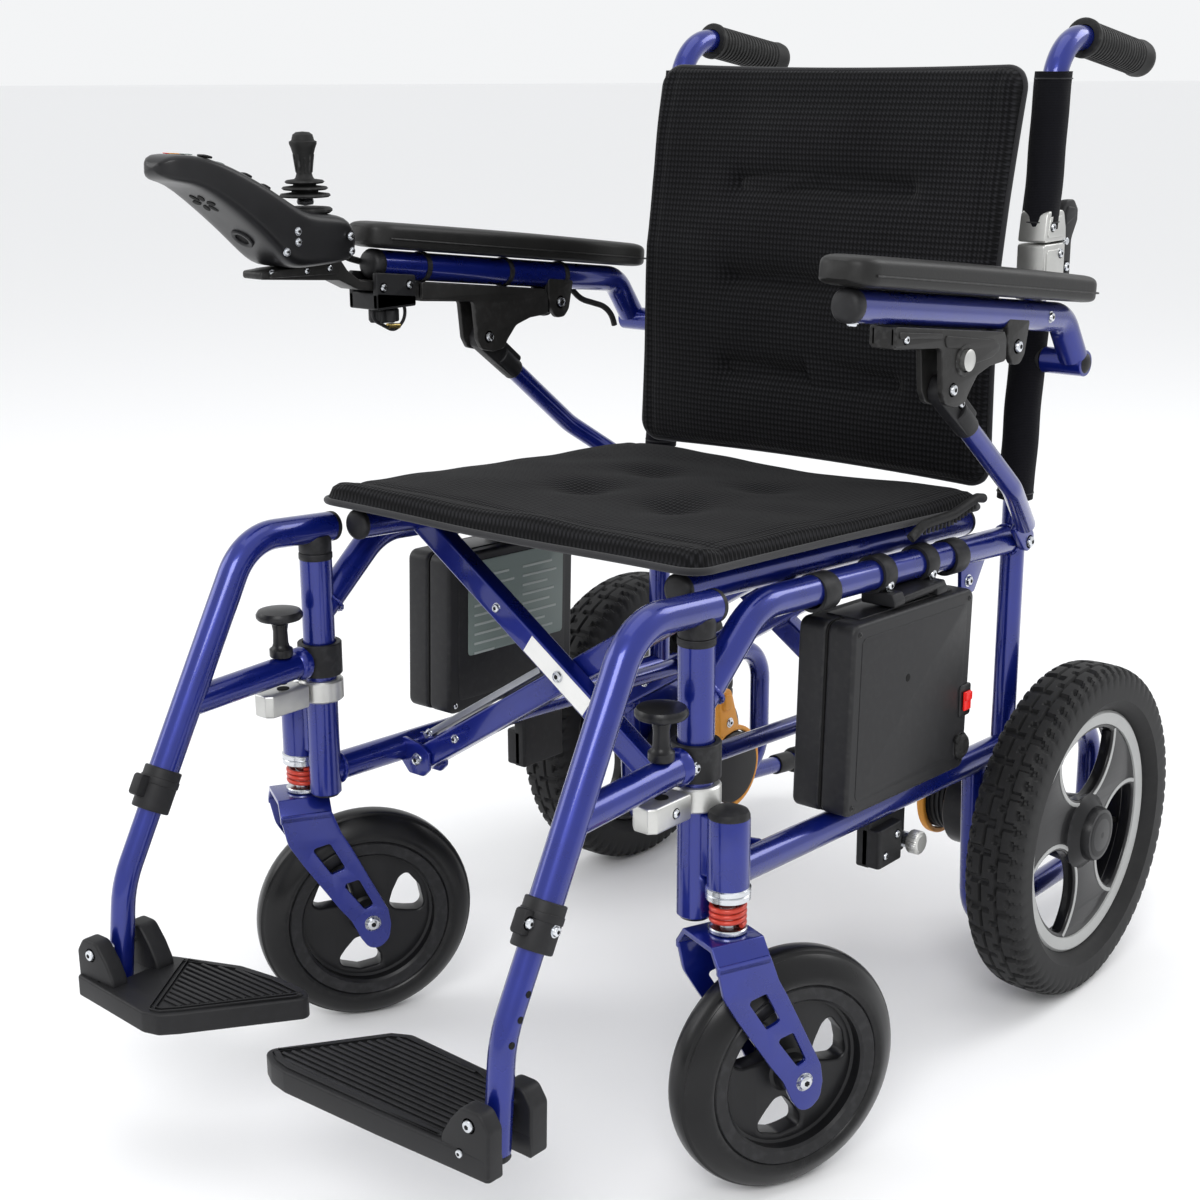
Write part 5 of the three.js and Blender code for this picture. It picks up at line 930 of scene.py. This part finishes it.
# ------------------------------------------------------------------ soft pieces
rng = np.random.default_rng(7)
def noise3(P, s, seed=0.0): return np.array([noise.noise(Vector((p[0] * s + seed, p[1] * s, p[2] * s + 3.1))) for p in P])
def cushion(nu, nv, place, T, edge, crown, grooves=(), dimples=(), piping=2.6, hx=1.0, hy=1.0, pull=3.0, puff=None, under=0.35):
    """closed pad over a rectangle 2hx by 2hy mm. place(x, y, h) gives the point. returns (top+bottom mesh, perimeter loop)"""
    us = np.linspace(-1, 1, nu); vs = np.linspace(-1, 1, nv)
    us = np.sign(us) * (1 - (1 - np.abs(us)) ** 1.0); top_, bot_ = [], []
    def outline(u, v):
        # rounded corners by pulling the corners in, and sides that draw in between them
        x, y = u * hx, v * hy
        cr = 20.0; ax_, ay_ = hx - cr, hy - cr
        x *= 1 - pull / hx * (1 - v * v) * abs(u) ** 6; y *= 1 - pull / hy * (1 - u * u) * abs(v) ** 6
        if abs(x) > ax_ and abs(y) > ay_:
            qx, qy = (abs(x) - ax_) / cr, (abs(y) - ay_) / cr; mx_, L_ = max(qx, qy), math.hypot(qx, qy)
            k = mx_ / L_ if L_ > 0 else 1; x = math.copysign(ax_ + qx * k * cr, x); y = math.copysign(ay_ + qy * k * cr, y)
        return x, y
    for u in us:
        for v in vs:
            x, y = outline(u, v); d = min((1 - abs(u)) * hx, (1 - abs(v)) * hy)
            e = min(1.0, d / edge); prof_ = math.sqrt(max(0.0, 1 - (1 - e) ** 2))
            h = T * prof_ + crown * (1 - u * u) * (1 - v * v)
            if puff: h += puff(x, y) * prof_
            for (ax0, ay0, ax1, ay1, dep, sg) in grooves:
                dx, dy = ax1 - ax0, ay1 - ay0; L2 = dx * dx + dy * dy; t_ = max(0, min(1, ((x - ax0) * dx + (y - ay0) * dy) / L2)); dd_ = math.hypot(x - ax0 - t_ * dx, y - ay0 - t_ * dy)
                h -= dep * math.exp(-(dd_ / sg) ** 1.6) * min(1, prof_ * 1.2)
            for (cx_, cy_, dep, sg) in dimples:
                h -= dep * math.exp(-((x - cx_) ** 2 + (y - cy_) ** 2) / sg ** 2)
            top_.append((x, y, h)); bot_.append((x, y, -T * under * prof_))
    idx = lambda i, j: i * nv + j
    Vt = [place(*p) for p in top_]; Vb = [place(*p) for p in bot_]; k = nu * nv; F = []
    for i in range(nu - 1):
        for j in range(nv - 1):
            F.append((idx(i, j), idx(i + 1, j), idx(i + 1, j + 1), idx(i, j + 1))); F.append((k + idx(i, j), k + idx(i, j + 1), k + idx(i + 1, j + 1), k + idx(i + 1, j)))
    ring = [idx(i, 0) for i in range(nu)] + [idx(nu - 1, j) for j in range(1, nv)] + [idx(i, nv - 1) for i in range(nu - 2, -1, -1)] + [idx(0, j) for j in range(nv - 2, 0, -1)]
    return np.array(Vt + Vb), F, [Vt[i] for i in ring]
# seat
def seat_place(x, v, h):
    sag = -3.0 * math.exp(-((x) / 120) ** 2)
    fx = tp(x, 119 + v, 133 + h + sag)
    return np.array(fx)
def seat_puff(x, y):
    s_ = 0.0
    s_ += 1.4 * math.sin(x * 0.021 + 1.2) * math.sin(y * 0.024 + 0.6)
    s_ += 3.5 * math.exp(-((y + 200) / 26) ** 2) * (1 + 0.35 * math.sin(x * 0.035))
    return s_
V, F, ring = cushion(90, 90, seat_place, 13.5, 15, 3.0, grooves=[(-200, -176, 200, -176, 2.6, 7), (-186, -205, -186, 205, 1.6, 5), (186, -205, 186, 205, 1.6, 5)],
                     dimples=[(-52, -40, 10, 30), (62, -56, 10, 30), (-60, 70, 8, 28), (60, 74, 8, 28)], hx=203, hy=213, pull=3, puff=seat_puff)
nz = noise3(V, 0.02); V[:, 2] += nz * 1.6
g = G("seat_cushion"); g.add((V, F), SEATF)
ringp = np.array(ring); ringp = ringp[[i for i in range(len(ringp)) if i == 0 or np.linalg.norm(ringp[i] - ringp[i - 1]) > 0.5]]
g.add(sweep_section(ringp, circle(3.0, 10), ref=(0, FT, CT), closed=True), PIPING)
seat = g.make(None, ["seat_cushion_left", "seat_cushion_right"], smooth=60)
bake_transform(seat)

# back: a lower and an upper panel, each in two halves that meet at the middle and draw in as the frame folds;
# the upper panel folds with the canes, and the split runs in the middle channel
def back_front(z):
    pts = [(480, 212), (500, 211), (600, 213.5), (680, 217), (740, 227), (848, 248), (870, 252)]
    for (z0, y0), (z1, y1) in zip(pts[:-1], pts[1:]):
        if z <= z1: return y0 + (y1 - y0) * (z - z0) / (z1 - z0)
    return 252
def back_place(x, v, h):
    z = 669 + v; y = back_front(z); k = 0.16 if z > 700 else 0.04
    curve = 0.00022 * (x * x) * 0.5
    return np.array((x, y + 9 - h - curve + 4, z + h * k))
def back_puff(x, y):
    s_ = 2.6 * math.cos((y + 14) * 2 * math.pi / 86) * -0.9 * (1 - (x / 190) ** 2) + 1.2 * math.sin(x * 0.03 + y * 0.013)
    return s_
gr = []
for z in (742, 655, 570):
    gr.append((-82, z - 669, 100, z - 669, 12.5, 9.5))
V, F, ring = cushion(121, 150, back_place, 15.5, 15, 5.0, grooves=gr + [(-178, -170, -178, 172, 2.2, 4), (178, -170, 178, 172, 2.2, 4), (-178, 168, 178, 168, 2.0, 4)], hx=197, hy=181, pull=3.5, puff=back_puff, under=1.0)
nz = noise3(V, 0.016, 9.0); V[:, 1] += nz * 2.4
ringp = np.array(ring); ringp = ringp[[i for i in range(len(ringp)) if i == 0 or np.linalg.norm(ringp[i] - ringp[i - 1]) > 0.5]]
PV, PF = sweep_section(ringp, circle(2.8, 10), ref=(0, -1, 0), closed=True)
def part_of(VF, cuts):
    """keeps the side of each plane that its normal points to, and closes the cut"""
    import bmesh
    V_, F_ = VF; me = bpy.data.meshes.new("t"); me.from_pydata(V_.tolist(), [], F_); bm = bmesh.new(); bm.from_mesh(me)
    bmesh.ops.recalc_face_normals(bm, faces=bm.faces)
    for co, no in cuts:
        bmesh.ops.bisect_plane(bm, geom=bm.verts[:] + bm.edges[:] + bm.faces[:], plane_co=co, plane_no=no, clear_inner=True, clear_outer=False)
        bmesh.ops.holes_fill(bm, edges=[e for e in bm.edges if e.is_boundary], sides=0)
    bmesh.ops.recalc_face_normals(bm, faces=bm.faces)
    bm.verts.index_update(); out = np.array([v.co[:] for v in bm.verts]), [tuple(v.index for v in f.verts) for f in bm.faces]; bm.free(); bpy.data.meshes.remove(me); return out
for side, sg in (("left", 1), ("right", -1)):
    for lvl, zs, body in (("lower", -1, side + "_frame"), ("upper", 1, side + "_push_cane")):
        cuts = [((0, 0, 0), (sg, 0, 0)), ((0, 0, 655), (0, 0, zs))]
        g = G("back_cushion_%s_%s" % (lvl, side)); g.add(part_of((V, F), cuts), BACKF); g.add(part_of((PV, PF), cuts), PIPING)
        ob = g.make(body, ["back_cushion_" + lvl], smooth=60)
        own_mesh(ob)

# ribbed carry strap on the left seat rail, standing out from the seat edge
g = G("carry_strap")
g.add(tube([(209, 70, 470), (213, 84, 480, 10), (215, 128, 481, 30), (213, 172, 488, 16), (209, 190, 484)], 4.2, 16), RUBBER)
for q_ in [np.array((213 + 2 * math.sin((y_r - 84) / 88 * math.pi), y_r, float(np.interp(y_r, (84, 128, 172), (480, 481, 488))))) for y_r in range(86, 172, 6)]:
    g.add(rod((q_[0], q_[1], q_[2] - 2), (q_[0], q_[1] - 0.5, q_[2] - 9), 1.5, 8), RUBBER)
g.make("cross_brace_b", ())

# fabric sleeves round the canes, with a seam and a hem
def sleeve(zs, wob, name, body, mir, x0=205, w=15.5, dpt=14.2):
    g = G(name); rows = []; n_ = 40
    for i, z in enumerate(zs):
        q = i / (len(zs) - 1); y = caneY(z)
        if z > 700: y = 277 + (z - 700) * 0.088
        row = []
        for k in range(n_):
            a = 2 * math.pi * k / n_; rr = 1 + 0.02 * math.sin(3 * a + z * 0.05) + 0.015 * math.sin(z * 0.11 + a)
            sx_ = w * rr * math.copysign(abs(math.cos(a)) ** 0.9, math.cos(a)); sy_ = dpt * rr * math.copysign(abs(math.sin(a)) ** 0.9, math.sin(a))
            # the fabric runs inboard to the back panel
            if math.cos(a) < 0: sx_ *= 1.10
            row.append((x0 + sx_, y + sy_, z))
        rows.append(row)
    V_ = np.array([p for r in rows for p in r]); F_ = []
    for i in range(len(rows) - 1):
        for q in range(n_): r = (q + 1) % n_; F_.append((i * n_ + q, i * n_ + r, (i + 1) * n_ + r, (i + 1) * n_ + q))
    ctr = [V_[:n_].mean(0), V_[-n_:].mean(0)]; V_ = np.vstack([V_, ctr]); k0 = len(rows) * n_
    # folded hems run back inside against the tube
    for j, base_i, cidx in ((0, 0, k0), (1, (len(rows) - 1) * n_, k0 + 1)):
        for q in range(n_):
            r = (q + 1) % n_; F_.append((cidx, base_i + (r if j == 0 else q), base_i + (q if j == 0 else r)))
    g.add((V_, F_), SIDEF)
    for z in (zs[0] + 6, zs[-1] - 6):
        y = caneY(z) if z < 700 else 277 + (z - 700) * 0.088
        lp = np.array([(x0 + (w + 0.5) * math.cos(a) * (1.10 if math.cos(a) < 0 else 1), y + (dpt + 0.5) * math.sin(a), z) for a in np.linspace(0, 2 * math.pi, 48, endpoint=False)])
        g.add(sweep_section(lp, circle(0.6, 6), ref=(0, 0, 1), closed=True), PIPING)
    ob = g.make(body, (), mir, smooth=60); return ob
for side, mir in SIDES:
    sleeve(np.linspace(472, 642, 30), 1, "back_sleeve_lower_" + side, side + "_frame", mir)
    sleeve(np.linspace(712, 846, 24), 1, "back_sleeve_upper_" + side, side + "_push_cane", mir)

# ------------------------------------------------------------------ floor, light
bpy.ops.mesh.primitive_plane_add(size=120, location=(0, 0, 0)); floor = bpy.context.object; floor.name = "floor"
mt, nt, b = new_mat("floor"); b.inputs["Base Color"].default_value = (0.93, 0.93, 0.935, 1); b.inputs["Roughness"].default_value = 0.9; b.inputs["Specular IOR Level"].default_value = 0.1; floor.data.materials.append(mt)
w = bpy.data.worlds.new("world"); bpy.context.scene.world = w; w.use_nodes = True
bg = w.node_tree.nodes["Background"]; bg.inputs[0].default_value = (0.98, 0.99, 1.0, 1); bg.inputs[1].default_value = 0.92
def area(name, loc, target, size, power, col=(1, 1, 1)):
    l = bpy.data.lights.new(name, "AREA"); l.shape = "RECTANGLE"; l.size, l.size_y = size; l.energy = power; l.color = col
    o = bpy.data.objects.new(name, l); bpy.context.scene.collection.objects.link(o); o.location = loc
    d = Vector(target) - Vector(loc); o.rotation_euler = d.to_track_quat("-Z", "Y").to_euler(); return o
area("key", (1.6, -2.6, 2.6), (0, 0, 0.5), (1.6, 1.2), 52)
area("fill", (-2.6, -1.6, 1.8), (0, 0, 0.5), (1.6, 1.6), 20)
area("rim", (1.4, 2.4, 2.4), (0, 0, 0.5), (1.4, 1.4), 26)
area("top", (0, 0, 3.2), (0, 0, 0), (2.2, 2.2), 14)
bpy.context.scene.view_settings.view_transform = "Standard"
